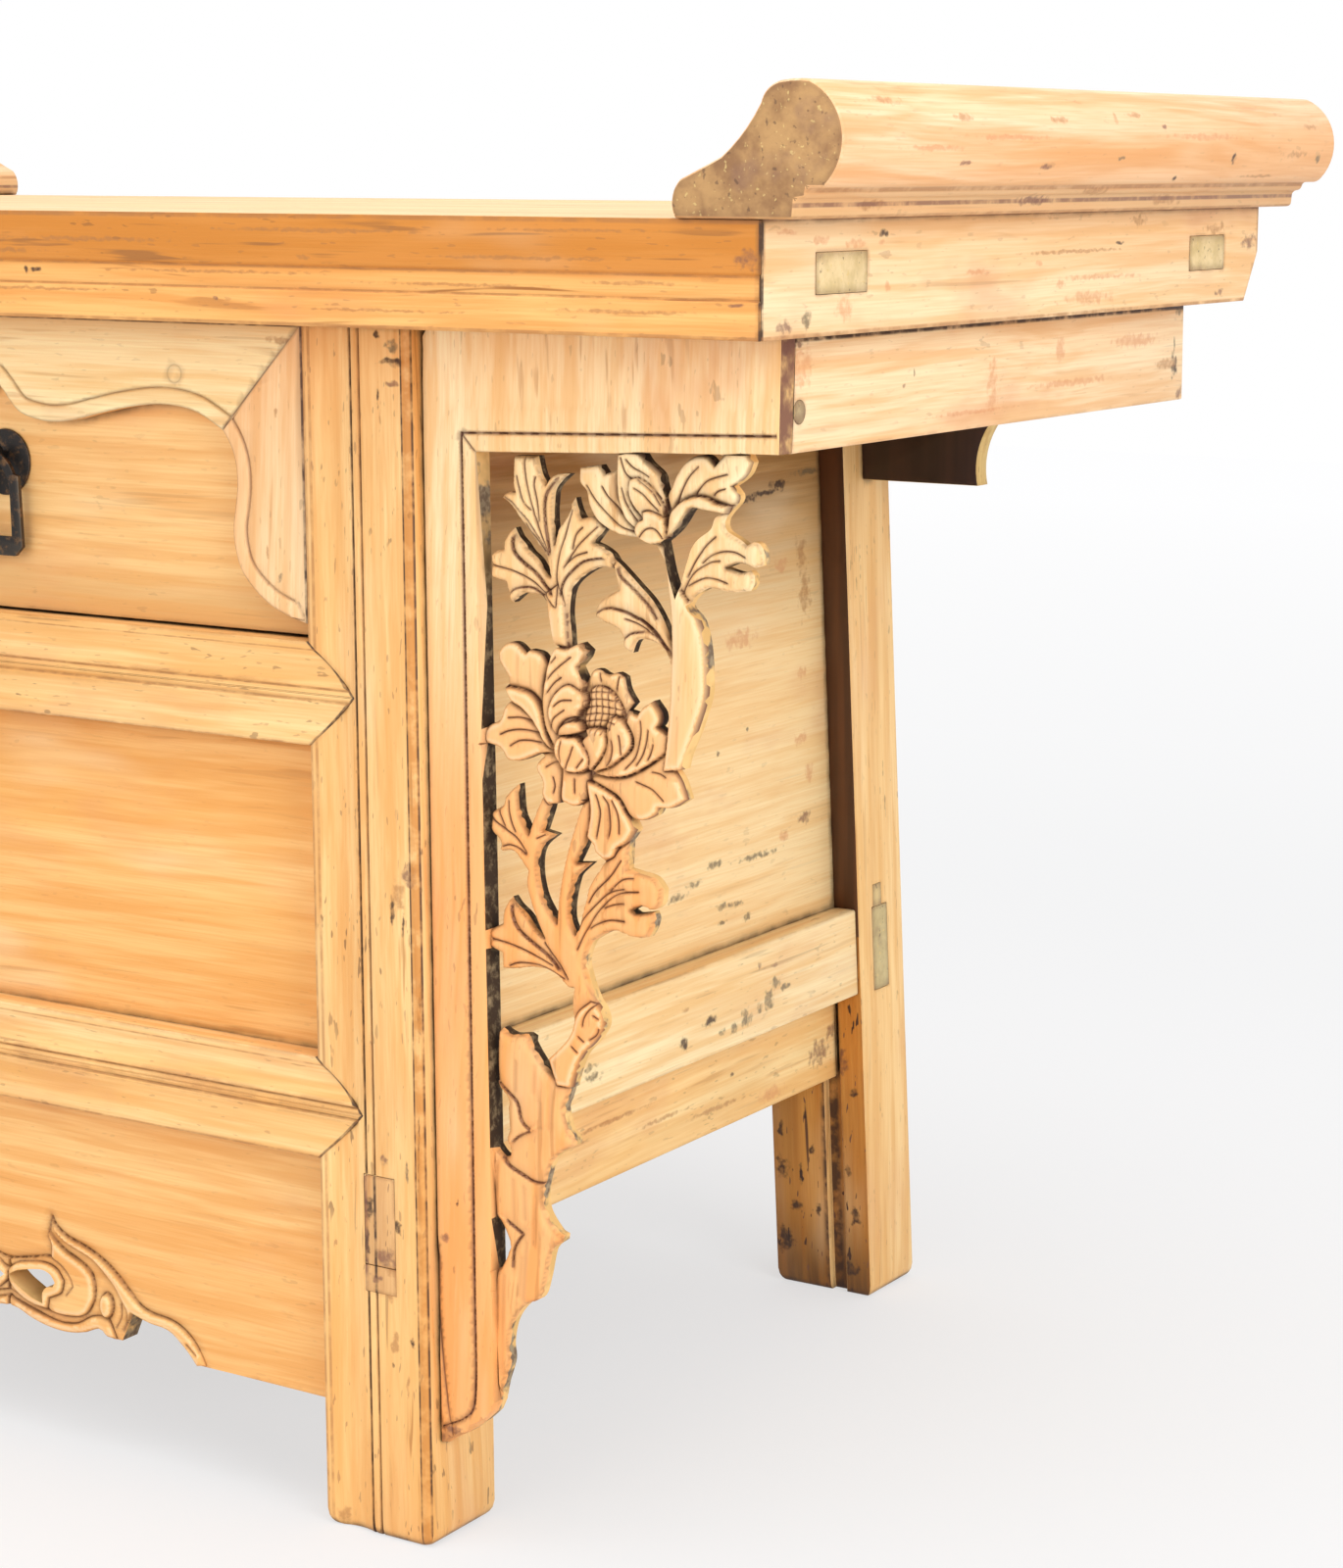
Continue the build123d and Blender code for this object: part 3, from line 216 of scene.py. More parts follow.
def marked(tree, place, colour, marks, grain, seams):
    """Stains, knots and nicks at their own places, in mm: (along, height, half width, half
    height, tone). A seam is a stain, a dark joint or a painted shadow in a gap along a line, where
    the direction's share of along and of height adds up to the line's place: (direction, place,
    half width, tone)."""
    apart = put(tree, "ShaderNodeSeparateXYZ", Vector=place)
    wide = apart.outputs["Y" if grain == "Y" else "X"]
    crumbs = straight(tree, noise(tree, place, 260, 4.0, 0.65), 0.36, 0.54, 0.55)
    sheet = put(tree, "ShaderNodeCombineXYZ", X=wide, Y=apart.outputs["Z"])
    broken = put(tree, "ShaderNodeTexNoise", Vector=place, Scale=170.0, Detail=3.0).outputs[1]
    broken = put(tree, "ShaderNodeMapping", Vector=broken, Location=(-1.1, -1.1, 0), Scale=(2.2, 2.2, 0))
    for along, high, half_wide, half_high, tone in marks:
        near = put(tree, "ShaderNodeMapping", {"vector_type": "TEXTURE"}, Vector=sheet,
                   Location=(along / 1000, high / 1000, 0), Scale=(half_wide / 1000, half_high / 1000, 1))
        near = put(tree, "ShaderNodeVectorMath", {"operation": "ADD"}, i0=near, i1=broken)
        near = put(tree, "ShaderNodeVectorMath", {"operation": "LENGTH"}, i0=near).outputs["Value"]
        paint, strength = tones[tone]
        colour = stained(tree, colour, ramp(tree, near, 0.95, 0.35, top=strength), crumbs, paint)
    away = wide if grain == "Y" else put(tree, "ShaderNodeMath", {"operation": "ABSOLUTE"},
                                         i0=wide).outputs[0]
    patchy = straight(tree, noise(tree, place, 75, 3.0, 0.6), 0.34, 0.56, 0.25)
    for (across, upward), at, half, tone in seams:
        run = put(tree, "ShaderNodeMath", {"operation": "MULTIPLY_ADD"}, i0=apart.outputs["Z"], i1=upward,
                  i2=times(tree, away, across))
        gap = put(tree, "ShaderNodeMath", {"operation": "SUBTRACT"}, i0=run, i1=at / 1000)
        gap = put(tree, "ShaderNodeMath", {"operation": "ABSOLUTE"}, i0=gap)
        paint, strength = tones[tone]
        amount = ramp(tree, gap, half * 1.35 / 1000, half * 0.6 / 1000, top=strength)
        colour = stained(tree, colour, amount, patchy, paint)
    return colour


# What stays in stripped pine besides, from the resin lines of the wood to the dirt in its joints,
# and the painted shade in corners and grooves and painted highlight on carved edges.
left_in_wood = {"resin": (0.40, 0.155, 0.035, 1), "red stain": (0.66, 0.28, 0.13, 1),
                "weathered": (0.50, 0.36, 0.16, 1), "bleached": (0.96, 0.80, 0.52, 1),
                "nick": (0.22, 0.10, 0.05, 1), "pit": (0.085, 0.040, 0.022, 1),
                "check": (0.16, 0.07, 0.03, 1), "arris": (0.30, 0.12, 0.035, 1),
                "dirt_and_shade": (0.060, 0.026, 0.013, 1), "rubbed_and_highlit": (0.98, 0.76, 0.47, 1),
                "lacquer_and_shade": (0.11, 0.035, 0.022, 1)}


def pine(name, grain, pale, warm, seed, stain=0.35, flecks=1.0, lean=(0, 0), grime_and_shade=0.85, bands=1.0,
         carved=False, marks=(), seams=(), streaks=0.5, arris=0.35, fade=None):
    """Old stripped pine: soft bands, fine fibres, red stain left in places, dark pits and checks,
    dark dirt and painted shade in joints, grooves and corners, and brown left along the arrises.
    Carved boards add painted shade and painted highlight from their mesh. Every pattern runs along
    the grain. fade is a change of colour with height: (from, to, colour, amount)."""
    made, tree = blank_material(name)
    own = put(tree, "ShaderNodeTexCoord").outputs["Object"]
    place = shifted(tree, own, (seed * 1.37, seed * 0.71, seed * 2.13))
    waver = put(tree, "ShaderNodeTexNoise", Vector=place, Scale=2.6, Detail=2.0).outputs[1]
    waver = put(tree, "ShaderNodeVectorMath", {"operation": "SCALE"}, i0=waver, Scale=0.03).outputs[0]
    along = squeezed(tree, put(tree, "ShaderNodeVectorMath", {"operation": "ADD"}, i0=place,
                               i1=waver).outputs[0], grain, 0.045, lean)
    broad = ramp(tree, noise(tree, along, 24, 3.0), 0.34, 0.68)
    rings = ramp(tree, noise(tree, along, 95, 3.0, 0.6), 0.40, 0.64)
    fibre = noise(tree, squeezed(tree, place, grain, 0.02, lean), 700, 2.0, 0.6)
    dark_ring = [c * f for c, f in zip(warm[:3], (0.86, 0.70, 0.48))] + [1]
    colour = stained(tree, pale, broad, bands, warm)
    colour = stained(tree, colour, rings, 0.60 * bands, dark_ring)
    colour = stained(tree, colour, ramp(tree, fibre, 0.40, 0.62), 0.24, dark_ring)
    if fade:
        level = put(tree, "ShaderNodeSeparateXYZ", Vector=own).outputs["Z"]
        level = ramp(tree, level, fade[0] / 1000, fade[1] / 1000, top=fade[3])
        colour = stained(tree, colour, level, straight(tree, rings, 0.0, 1.0, 1.0, 0.65), fade[2])
    lines = ramp(tree, noise(tree, shifted(tree, along, (4, 8, 2)), 190, 2.0, 0.55), 0.60, 0.70)
    lines = times(tree, lines, ramp(tree, noise(tree, shifted(tree, along, (2, 6, 1)), 16, 2.0), 0.42, 0.62))
    colour = stained(tree, colour, lines, streaks, left_in_wood["resin"])

    def patches(shift, share, scale, detail, roughness, low, high):
        """Patches drawn out along the grain, large or small by their scale."""
        drawn = squeezed(tree, shifted(tree, place, shift), grain, share)
        return ramp(tree, noise(tree, drawn, scale, detail, roughness), low, high)

    for amount, strength, what in ((patches((0, 0, 0), 0.4, 13, 4.0, 0.62, 0.52, 0.72), stain, "red stain"),
                                   (patches((3, 5, 7), 0.3, 9, 4.0, 0.62, 0.56, 0.72), 0.40 * stain,
                                    "weathered"),
                                   (patches((8, 1, 5), 0.25, 12, 3.0, 0.6, 0.56, 0.74), 0.35, "bleached")):
        colour = stained(tree, colour, amount, strength, left_in_wood[what])
    where = ramp(tree, noise(tree, shifted(tree, place, (9, 2, 4)), 9.5, 1.0), 0.50, 0.62)
    pits = times(tree, patches((0, 0, 0), 0.30, 190, 2.0, 0.55, 0.655, 0.695), where)
    nicks = patches((1, 7, 3), 0.22, 420, 1.0, 0.5, 0.70, 0.73)
    checks = ramp(tree, noise(tree, squeezed(tree, place, grain, 0.03, lean), 210, 1.0), 0.735, 0.77)
    for amount, share, what in ((nicks, 0.7, "nick"), (pits, 1.0, "pit"), (checks, 0.75, "check")):
        colour = stained(tree, colour, amount, share * flecks, left_in_wood[what])
    if arris and not carved:
        edge = closed_in(tree, 0.003, 4, 0.92, 0.55, inside=True)
        edge = times(tree, edge, ramp(tree, noise(tree, place, 38, 3.0, 0.6), 0.38, 0.58))
        colour = stained(tree, colour, edge, arris, left_in_wood["arris"])
    if marks or seams:
        colour = marked(tree, own, colour, marks, grain, seams)
    # Painted shade: darker where other surfaces stand close, in joints, grooves and corners, together with
    # the dirt that gathers there.
    dirt_and_shade = times(tree, closed_in(tree, 0.008, 8, 0.80, 0.42),
                 straight(tree, noise(tree, place, 60, 2.0), 0.3, 0.62, 0.40))
    colour = stained(tree, colour, dirt_and_shade, grime_and_shade, left_in_wood["dirt_and_shade"])
    if carved:
        # The mesh's mark: above 0 dark for old finish and painted shade, below 0 pale for rubbed wood and
        # painted highlight.
        old_shade_and_highlight = put(tree, "ShaderNodeAttribute", {"attribute_name": "old_shade_and_highlight"}).outputs["Fac"]
        rubbed_and_highlit, dark = (put(tree, "ShaderNodeMath", {"operation": "MULTIPLY", "use_clamp": True}, i0=old_shade_and_highlight,
                            i1=sign).outputs[0] for sign in (-1.0, 1.0))
        colour = blend_colour(tree, rubbed_and_highlit, colour, left_in_wood["rubbed_and_highlit"])
        colour = stained(tree, colour, dark, straight(tree, noise(tree, place, 60, 3.0), 0.25, 0.5, 0.7),
                         left_in_wood["lacquer_and_shade"])
    height = put(tree, "ShaderNodeMath", {"operation": "MULTIPLY_ADD"}, i0=rings, i1=0.5, i2=fibre)
    relief = put(tree, "ShaderNodeBump", Height=height, Strength=0.25, Distance=0.0008)
    return coated(made, tree, colour, Normal=relief, Roughness=0.5, Specular_IOR_Level=0.30)


def end_grain(name, pale, dark, seed):
    """Sawn ends: mottled, speckled with pale crumbs, and darker at the rim."""
    made, tree = blank_material(name)
    place = put(tree, "ShaderNodeTexCoord").outputs["Object"]
    place = shifted(tree, place, (seed, seed * 0.5, seed * 0.3))
    mottle = ramp(tree, noise(tree, place, 45, 4.0, 0.65), 0.35, 0.68)
    crumbs = ramp(tree, noise(tree, place, 330, 2.0), 0.64, 0.70)
    purple = ramp(tree, noise(tree, shifted(tree, place, (2, 1, 0)), 22, 4.0, 0.6), 0.52, 0.68)
    pores = ramp(tree, noise(tree, shifted(tree, place, (1, 2, 3)), 260, 2.0), 0.64, 0.72)
    colour = blend_colour(tree, mottle, pale, dark)
    for amount, strength, paint in (
            (crumbs, 0.7, (0.72, 0.52, 0.20, 1)), (purple, 0.5, (0.24, 0.12, 0.085, 1)),
            (closed_in(tree, 0.006, 6, 0.95, 0.55, inside=True), 0.6, (0.20, 0.095, 0.045, 1)),
            (pores, 0.6, (0.10, 0.05, 0.03, 1))):
        colour = stained(tree, colour, amount, strength, paint)
    relief = put(tree, "ShaderNodeBump", Height=noise(tree, place, 300, 3.0), Strength=0.35, Distance=0.001)
    return coated(made, tree, colour, Normal=relief, Roughness=0.75)


# Points this near in metres are joined and faces this near in degrees are made one. Edges above
# the third value, in degrees, are worn, and those above the fourth are shaded as edges.
same_point, same_plane, edge_angle, shading_angle = 1e-5, 0.6, 32, 30


def worn_copy(node, width, paints, choose=None, steps=2):
    """A copy of a solid with its edges rounded by wear. choose(normal, centre) gives each face
    the number of its paint."""
    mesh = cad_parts[node].data.copy()
    mesh.name = "worn_" + node
    shell = bmesh.new()
    shell.from_mesh(mesh)
    bmesh.ops.remove_doubles(shell, verts=shell.verts, dist=same_point)
    bmesh.ops.dissolve_limit(shell, angle_limit=math.radians(same_plane), verts=shell.verts,
                             edges=shell.edges)
    shell.to_mesh(mesh)
    shell.free()
    piece = bpy.data.objects.new("worn_" + node, mesh)
    bpy.context.scene.collection.objects.link(piece)
    wear = piece.modifiers.new("edge wear", "BEVEL")
    wear.width = width
    wear.segments = steps
    wear.limit_method = "ANGLE"
    wear.angle_limit = math.radians(edge_angle)
    wear.use_clamp_overlap = True
    finished = bpy.data.meshes.new_from_object(piece.evaluated_get(bpy.context.evaluated_depsgraph_get()))
    piece.modifiers.clear()
    piece.data = finished
    finished.materials.clear()
    for paint in paints:
        finished.materials.append(paint)
    for face in finished.polygons:
        face.use_smooth = True
        face.material_index = choose(face.normal, face.center) if choose else 0
    finished.set_sharp_from_angle(angle=math.radians(shading_angle))
    return piece


def settle(piece, body, node):
    """Let a piece ride a body and stand for a solid."""
    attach(piece, body)
    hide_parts(node)


def dress(node, body, width, paints, choose=None, steps=2):
    """Put a worn copy in a solid's place."""
    settle(worn_copy(node, width, paints, choose, steps), body, node)


# Painted shade: the moulding's upper band, above its groove at 750.6 mm, is painted a darker orange.
top_front = pine("top_front_pine", "X", (0.93, 0.52, 0.175, 1), (0.84, 0.38, 0.10, 1), 1, 0.35, 0.35,
                 fade=(747, 753, (0.62, 0.225, 0.03, 1), 0.96), arris=0.7, streaks=1.0,
                 seams=[((0, 1), 779, 1.8, "brown"), ((0, 1), 750.6, 0.7, "brown"),
                        ((0, 1), 738.4, 0.7, "brown"), ((0, 1), 719, 1, "brown"),
                        ((1, 0), 583.4, 1.3, "dark")],
                 marks=[(300, 771, 95, 1.6, "brown"), (130, 764, 80, 2, "brown"),
                        (430, 758, 70, 1.5, "brown"), (220, 747, 90, 1.3, "brown"),
                        (390, 743, 70, 1.3, "brown"), (50, 757, 50, 2, "brown"),
                        (505, 746, 36, 1.5, "brown"), (90, 735, 70, 1.2, "brown"),
                        (340, 728, 60, 1.2, "brown"), (500, 731, 50, 1.5, "brown"),
                        (20, 726, 60, 1.4, "brown"), (470, 773, 60, 1.3, "brown"),
                        (576, 760, 8, 7, "purple"), (569, 736, 9, 1.4, "purple"), (80, 746, 2, 3, "dark"),
                        (88, 746, 5, 2, "dark"), (224, 732, 3, 2, "purple"), (288, 756, 7, 2, "brown")])
top_plain = pine("top_panel_pine", "X", (0.93, 0.69, 0.39, 1), (0.90, 0.58, 0.29, 1), 2, 0.2, 0.5)
top_end = pine("top_end_pine", "Y", (0.95, 0.73, 0.44, 1), (0.92, 0.60, 0.31, 1), 3, 0.45, 0.25,
               streaks=0.25, arris=0.6,
               seams=[((1, 0), -324.2, 1.3, "dark"), ((0, 1), 779.4, 0.9, "brown"),
                      ((0, 1), 719, 1.2, "brown")],
               marks=[(-265, 768, 10, 3, "red"), (-227, 766, 13, 3, "red"), (-238, 732, 11, 9, "red"),
                      (-302, 724, 10, 5, "purple"), (-279, 727, 7, 6, "grey"), (-300, 773, 13, 2, "red"),
                      (-195, 771, 6, 2.5, "dark"), (-198, 766, 4, 2, "red"), (-191, 742, 4, 4, "red"),
                      (-85, 747, 17, 2.5, "red"), (134, 773, 12, 5, "brown"), (107, 760, 7, 1.5, "dark"),
                      (254, 766, 20, 5, "brown"), (38, 756, 80, 1.6, "brown"), (76, 740, 70, 2.2, "red"),
                      (24, 737, 8, 3, "red"), (262, 725, 7, 3, "purple"), (63, 728, 42, 5, "red"),
                      (309, 757, 12, 7, "purple"), (320, 735, 8, 14, "brown"), (-5, 750, 6, 2, "red")])
tenon_end = end_grain("tenon_end_grain", (0.82, 0.63, 0.34, 1), (0.62, 0.46, 0.21, 1), 4)
half_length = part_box("top_rail_end_right")[1].x


def long_rail_paint(normal, centre):
    """Plain above, end grain where a tenon shows on the end rail, and orange in front."""
    if normal.z > 0.8:
        return 2
    return 1 if abs(normal.x) > 0.9 and abs(centre.x) > half_length - 0.004 else 0


for node in ("top_rail_front", "top_rail_rear"):
    dress(node, "frame", 0.0016, [top_front, tenon_end, top_plain], long_rail_paint)
for node in ("top_rail_end_right", "top_rail_end_left"):
    dress(node, "frame", 0.0022, [top_end])
under_dark = pine("battens_pine", "Y", (0.34, 0.21, 0.10, 1), (0.24, 0.14, 0.07, 1), 5, 0.3, 0.6)
for node, paint in (("top_panel", top_plain), ("top_battens", under_dark)):
    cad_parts[node].data.materials.clear()
    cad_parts[node].data.materials.append(paint)

# ---------------------------------------------------------------- flanges
# The everted flanges are single long-grained blocks moulded along their length. Their sawn
# ends stay brown, because end grain holds the old finish that was stripped from the sides.
flange_side = pine("flange_pine", "Y", (0.96, 0.67, 0.42, 1), (0.87, 0.47, 0.21, 1), 6, 0.2, 0.15,
                   streaks=0.3, fade=(802, 790, (0.66, 0.37, 0.14, 1), 0.72),
                   seams=[((0, 1), 794.5, 1.2, "brown"), ((0, 1), 787, 1.2, "purple"),
                          ((0, 1), 780.6, 1.0, "brown")], marks=[
                       (-195, 832, 14, 2.5, "brown"), (-194, 808, 8, 2, "purple"),
                       (-80, 832, 16, 2.5, "brown"), (-5, 834, 3, 4, "brown"), (24, 836, 15, 2, "brown"),
                       (60, 829, 4, 2, "purple"), (0, 811, 6, 1.5, "grey"), (-96, 806, 10, 2, "purple"),
                       (165, 811, 3, 4, "dark"),
                       (90, 799, 4, 1.5, "dark"), (264, 814, 24, 2.5, "brown"), (291, 831, 13, 2.5, "brown"),
                       (216, 800, 40, 1.2, "brown"), (303, 812, 6, 4, "grey"), (-274, 840, 18, 2.5, "brown"),
                       (-140, 822, 60, 2, "red"), (120, 824, 70, 2.5, "red"), (-230, 816, 40, 2, "red"),
                       (-60, 787, 26, 4, "purple"), (120, 786, 30, 4, "brown"), (-250, 787, 20, 4, "brown"),
                       (10, 792, 24, 3, "brown")])
flange_end = end_grain("flange_end_grain", (0.52, 0.295, 0.115, 1), (0.30, 0.15, 0.06, 1), 7)
for side in ("right", "left"):
    dress("flange_" + side, "frame", 0.0028, [flange_side, flange_end],
          lambda n, c: 1 if abs(n.y) > 0.8 else 0, steps=3)

# ---------------------------------------------------------------- posts
# Splayed front posts carry a moulding down the face. The rear posts are plain and keep their
# old dark finish on the side that the stripper didn't reach, and blotches of it at the foot.
post_lean = (0.040, 0.0)
along_post = (1, 0.04)
post_front_paint = pine(
    "post_front_pine", "Z", (0.95, 0.63, 0.28, 1), (0.89, 0.48, 0.165, 1), 8, 0.25, 0.6, post_lean,
    fade=(240, 60, (0.86, 0.43, 0.12, 1), 0.45), streaks=0.7,
    seams=[(along_post, at, half, tone) for at, half, tone in (
        (305.7, 0.8, "dark"), (311.8, 0.8, "brown"), (346, 4.0, "amber"), (276, 1.0, "brown"),
        (342.2, 0.6, "dark"), (349, 1.2, "dark"), (272, 1.0, "brown"))],
    marks=[(297, 712, 3, 3, "dark"), (309, 706, 6, 5, "grey"), (308, 696, 10, 3, "dark"),
           (313, 697, 4, 2.5, "dark"), (310, 684, 6, 2, "purple"), (298.5, 676, 1.3, 8, "dark"),
           (300.5, 664, 1, 9, "brown"), (322, 610, 2, 4, "dark"), (310, 231, 4, 5, "purple"),
           (327, 224, 1.6, 9, "grey"), (321, 191, 3, 5, "dark"), (333, 123, 2.5, 4, "dark"),
           (320, 121, 4, 7, "brown"), (319, 107, 1.5, 2, "dark"), (283, 7, 6, 6, "brown"),
           (318, 390, 6, 12, "brown"), (326, 402, 7, 9, "purple"), (314, 380, 2, 10, "dark"),
           (322, 372, 1.5, 8, "dark"), (334, 330, 1.4, 30, "dark"), (335, 240, 1.2, 24, "dark"),
           (316, 150, 3, 6, "brown"), (330, 96, 1.5, 8, "brown")])
post_side_paint = pine(
    "post_side_pine", "Z", (0.93, 0.63, 0.29, 1), (0.86, 0.48, 0.165, 1), 9, 0.3, 0.6, post_lean)
post_rear_paint = pine("post_rear_pine", "Z", (0.93, 0.64, 0.30, 1), (0.86, 0.53, 0.205, 1), 10, 0.25, 0.4,
                       post_lean)


def old_finish(name, wood, finish, seed, cover):
    """Dark brown old finish, with bare wood where it wore off; cover is how much is left."""
    made, tree = blank_material(name)
    place = put(tree, "ShaderNodeTexCoord").outputs["Object"]
    place = shifted(tree, place, (seed * 1.1, seed * 0.7, seed * 0.4))
    bare = ramp(tree, noise(tree, squeezed(tree, place, "Z", 0.35), 24, 4.0, 0.6), cover - 0.06,
                cover + 0.06)
    streak = ramp(tree, noise(tree, squeezed(tree, place, "Z", 0.05), 90, 2.0), 0.4, 0.65)
    dark = stained(tree, finish, streak, 0.6, [c * 2.2 for c in finish[:3]] + [1])
    return coated(made, tree, blend_colour(tree, bare, dark, wood), Roughness=0.42)


dark_upper = old_finish("dark_old_finish", (0.23, 0.08, 0.02, 1), (0.060, 0.020, 0.006, 1), 2, 0.66)
dark_lower = pine("rear_post_blotched", "Z", (0.74, 0.34, 0.075, 1), (0.60, 0.25, 0.045, 1), 31, 0.3, 2.0,
                  post_lean, arris=0.9, fade=(75, 0, (0.15, 0.065, 0.02, 1), 0.95),
                  seams=[(along_post, 319, 6, "dark"), (along_post, 269, 2, "brown")],
                  marks=[(274, 117, 3, 8, "dark"), (275, 87, 7, 10, "dark"), (291, 85, 3, 9, "dark"),
                         (286, 59, 7, 5, "dark"), (300, 104, 3, 5, "dark"), (294, 128, 2, 4, "dark"),
                         (326, 173, 6, 11, "purple"), (334, 151, 5, 5, "dark"), (336, 60, 5, 9, "dark"),
                         (330, 92, 3, 6, "dark"), (278, 34, 9, 12, "dark"), (306, 60, 3, 6, "dark"),
                         (332, 20, 8, 9, "dark"), (283, 150, 3, 7, "brown")])
stripped_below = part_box("side_rail_right")[1].z - 0.02
foot_wear = 0.009


def rear_paint(normal, centre):
    if normal.y > -0.8:
        return 0
    return 1 if centre.z > stripped_below else 2


def cut_at(piece, heights):
    """Cut a piece's faces level at these heights, so that the finish can change there."""
    shell = bmesh.new()
    shell.from_mesh(piece.data)
    for z in heights:
        every = shell.verts[:] + shell.edges[:] + shell.faces[:]
        bmesh.ops.bisect_plane(shell, geom=every, plane_co=(0, 0, z), plane_no=(0, 0, 1))
    shell.to_mesh(piece.data)
    shell.free()


def ease_foot(piece, radius):
    """Round a post's foot all the way round, as wear has: the last few mm draw in."""
    cut_at(piece, [radius * share for share in (0.08, 0.25, 0.5, 1.0)])
    low = [v.co for v in piece.data.vertices if v.co.z < radius]
    middle = sum((v for v in low), Vector()) / len(low)
    reach = [max(abs(v[k] - middle[k]) for v in low) for k in (0, 1)]
    for place in low:
        drawn_in = radius - math.sqrt(max(0, radius ** 2 - (radius - place.z) ** 2))
        for k in (0, 1):
            place[k] = middle[k] + (place[k] - middle[k]) * (1 - 0.8 * drawn_in / reach[k])


for side in ("right", "left"):
    post = worn_copy("post_front_" + side, 0.0014, [post_front_paint, post_side_paint],
                     lambda n, c: 0 if n.y < -0.5 else 1)
    ease_foot(post, foot_wear)
    settle(post, "frame", "post_front_" + side)
    post = worn_copy("post_rear_" + side, 0.0030, [post_rear_paint, dark_upper, dark_lower], steps=3)
    cut_at(post, (stripped_below,))
    for face in post.data.polygons:
        face.material_index = rear_paint(face.normal, face.center)
    ease_foot(post, foot_wear)
    settle(post, "frame", "post_rear_" + side)

# ---------------------------------------------------------------- front rails and panel
# Moulded pine rails tenoned between the posts, their ends worked to a point and mitred into the
# posts' moulding, and the plain board that closes the hidden compartment, held in grooves.
panel_paint = pine("front_panel_pine", "X", (0.94, 0.56, 0.215, 1), (0.88, 0.45, 0.135, 1), 12, 0.3, 0.12,
                   grime_and_shade=0.55, streaks=0.35)
upper_mitre, lower_mitre = (0.666, 0.747), (0.693, -0.721)
for node, seed, upper_at, lower_at in (("rail_front_upper", 11, 563.6, -164.9),
                                       ("rail_front_lower", 33, 385.7, 20.0)):
    middle = (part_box(node)[0].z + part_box(node)[1].z) * 500
    seams = [(upper_mitre, upper_at, 0.9, "dark"), (lower_mitre, lower_at, 0.9, "dark")]
    seams += [((0, 1), middle + above, half, "brown")
              for above, half in ((3.5, 0.7), (-4, 0.7), (-30, 0.7), (26, 0.5))]
    rail_paint = pine(node + "_pine", "X", (0.96, 0.67, 0.32, 1), (0.90, 0.52, 0.19, 1), seed, 0.4, 0.45,
                      arris=0.6, seams=seams)
    dress(node, "frame", 0.0012, [rail_paint])
dress("panel_front", "frame", 0.0010, [panel_paint])

# ---------------------------------------------------------------- sides
# Each side has a tall board in grooves, a flush rail below it, and a thinner stretcher whose
# tenons pass through both posts and are wedged from below.
# Painted shade: the board turns darker brown from 470 mm up to 645 mm, as the shade under the top.
side_paint = pine("side_panel_pine", "Y", (0.97, 0.72, 0.38, 1), (0.94, 0.62, 0.28, 1), 13, 0.35, 0.12,
                  grime_and_shade=0.8, streaks=0.12, bands=0.7, fade=(470, 645, (0.34, 0.145, 0.024, 1), 1.0), marks=[
                      (125, 585, 22, 3.5, "dark"), (150, 588, 24, 2.5, "dark"), (168, 592, 14, 4, "dark"),
                      (208, 598, 26, 3, "grey"), (196, 543, 9, 15, "brown"), (199, 514, 10, 20, "brown"),
                      (168, 536, 10, 6, "red"), (111, 492, 24, 9, "red"), (192, 459, 8, 6, "red"),
                      (189, 414, 12, 7, "red"), (198, 389, 8, 8, "red"), (190, 358, 11, 5, "purple"),
                      (125, 342, 34, 3, "grey"), (69, 345, 12, 3, "grey"), (42, 336, 13, 3, "grey"),
                      (95, 313, 12, 3.5, "grey"), (77, 315, 10, 3.5, "grey"), (78, 419, 3, 2.5, "dark"),
                      (117, 430, 3, 2.5, "grey"), (162, 349, 9, 5, "red"), (22, 331, 13, 4, "grey"),
                      (110, 302, 8, 3, "grey"), (78, 304, 7, 2, "grey")])
side_rail_paint = pine("side_rail_pine", "Y", (0.98, 0.79, 0.46, 1), (0.95, 0.65, 0.31, 1), 14, 0.3, 0.3,
                       streaks=0.15, arris=0.6, marks=[
                           (115, 257, 7, 6, "grey"), (106, 247, 7, 9, "grey"), (94, 243, 5, 5, "grey"),
                           (74, 241, 10, 8, "grey"), (31, 249, 11, 4, "dark"), (-3, 241, 8, 6, "dark"),
                           (44, 238, 5, 3, "grey"), (114, 270, 5, 2, "purple"), (95, 274, 3, 4, "purple"),
                           (-115, 250, 10, 3, "grey"), (-112, 243, 11, 4, "grey"), (1, 263, 5, 2, "brown"),
                           (128, 252, 8, 3, "grey"), (60, 238, 6, 5, "grey")])
stretcher_paint = pine("stretcher_pine", "Y", (0.98, 0.74, 0.37, 1), (0.94, 0.61, 0.26, 1), 15, 0.35, 0.3,
                       streaks=0.5, arris=0.6, marks=[
                           (205, 185, 18, 11, "purple"), (223, 197, 8, 6, "purple"), (140, 171, 24, 6, "red"),
                           (88, 196, 4, 2, "dark"), (0, 187, 40, 2, "brown"), (-60, 200, 50, 2, "brown"),
                           (60, 178, 44, 2.5, "brown")])
wedge_end = end_grain("wedge_end_grain", (0.70, 0.52, 0.24, 1), (0.52, 0.35, 0.16, 1), 16)
stained_end = pine("stained_tenon", "Z", (0.88, 0.56, 0.24, 1), (0.66, 0.36, 0.15, 1), 30, 0.8, 0.8,
                   arris=1.0, seams=[(along_post, 303, 3.0, "purple"), (along_post, 311.8, 1.0, "dark")],
                   marks=[(300, 200, 4, 8, "dark"), (313, 172, 9, 8, "purple"), (318, 163, 5, 3, "brown"),
                          (298, 176, 3, 12, "dark"), (306, 158, 6, 3, "purple")])
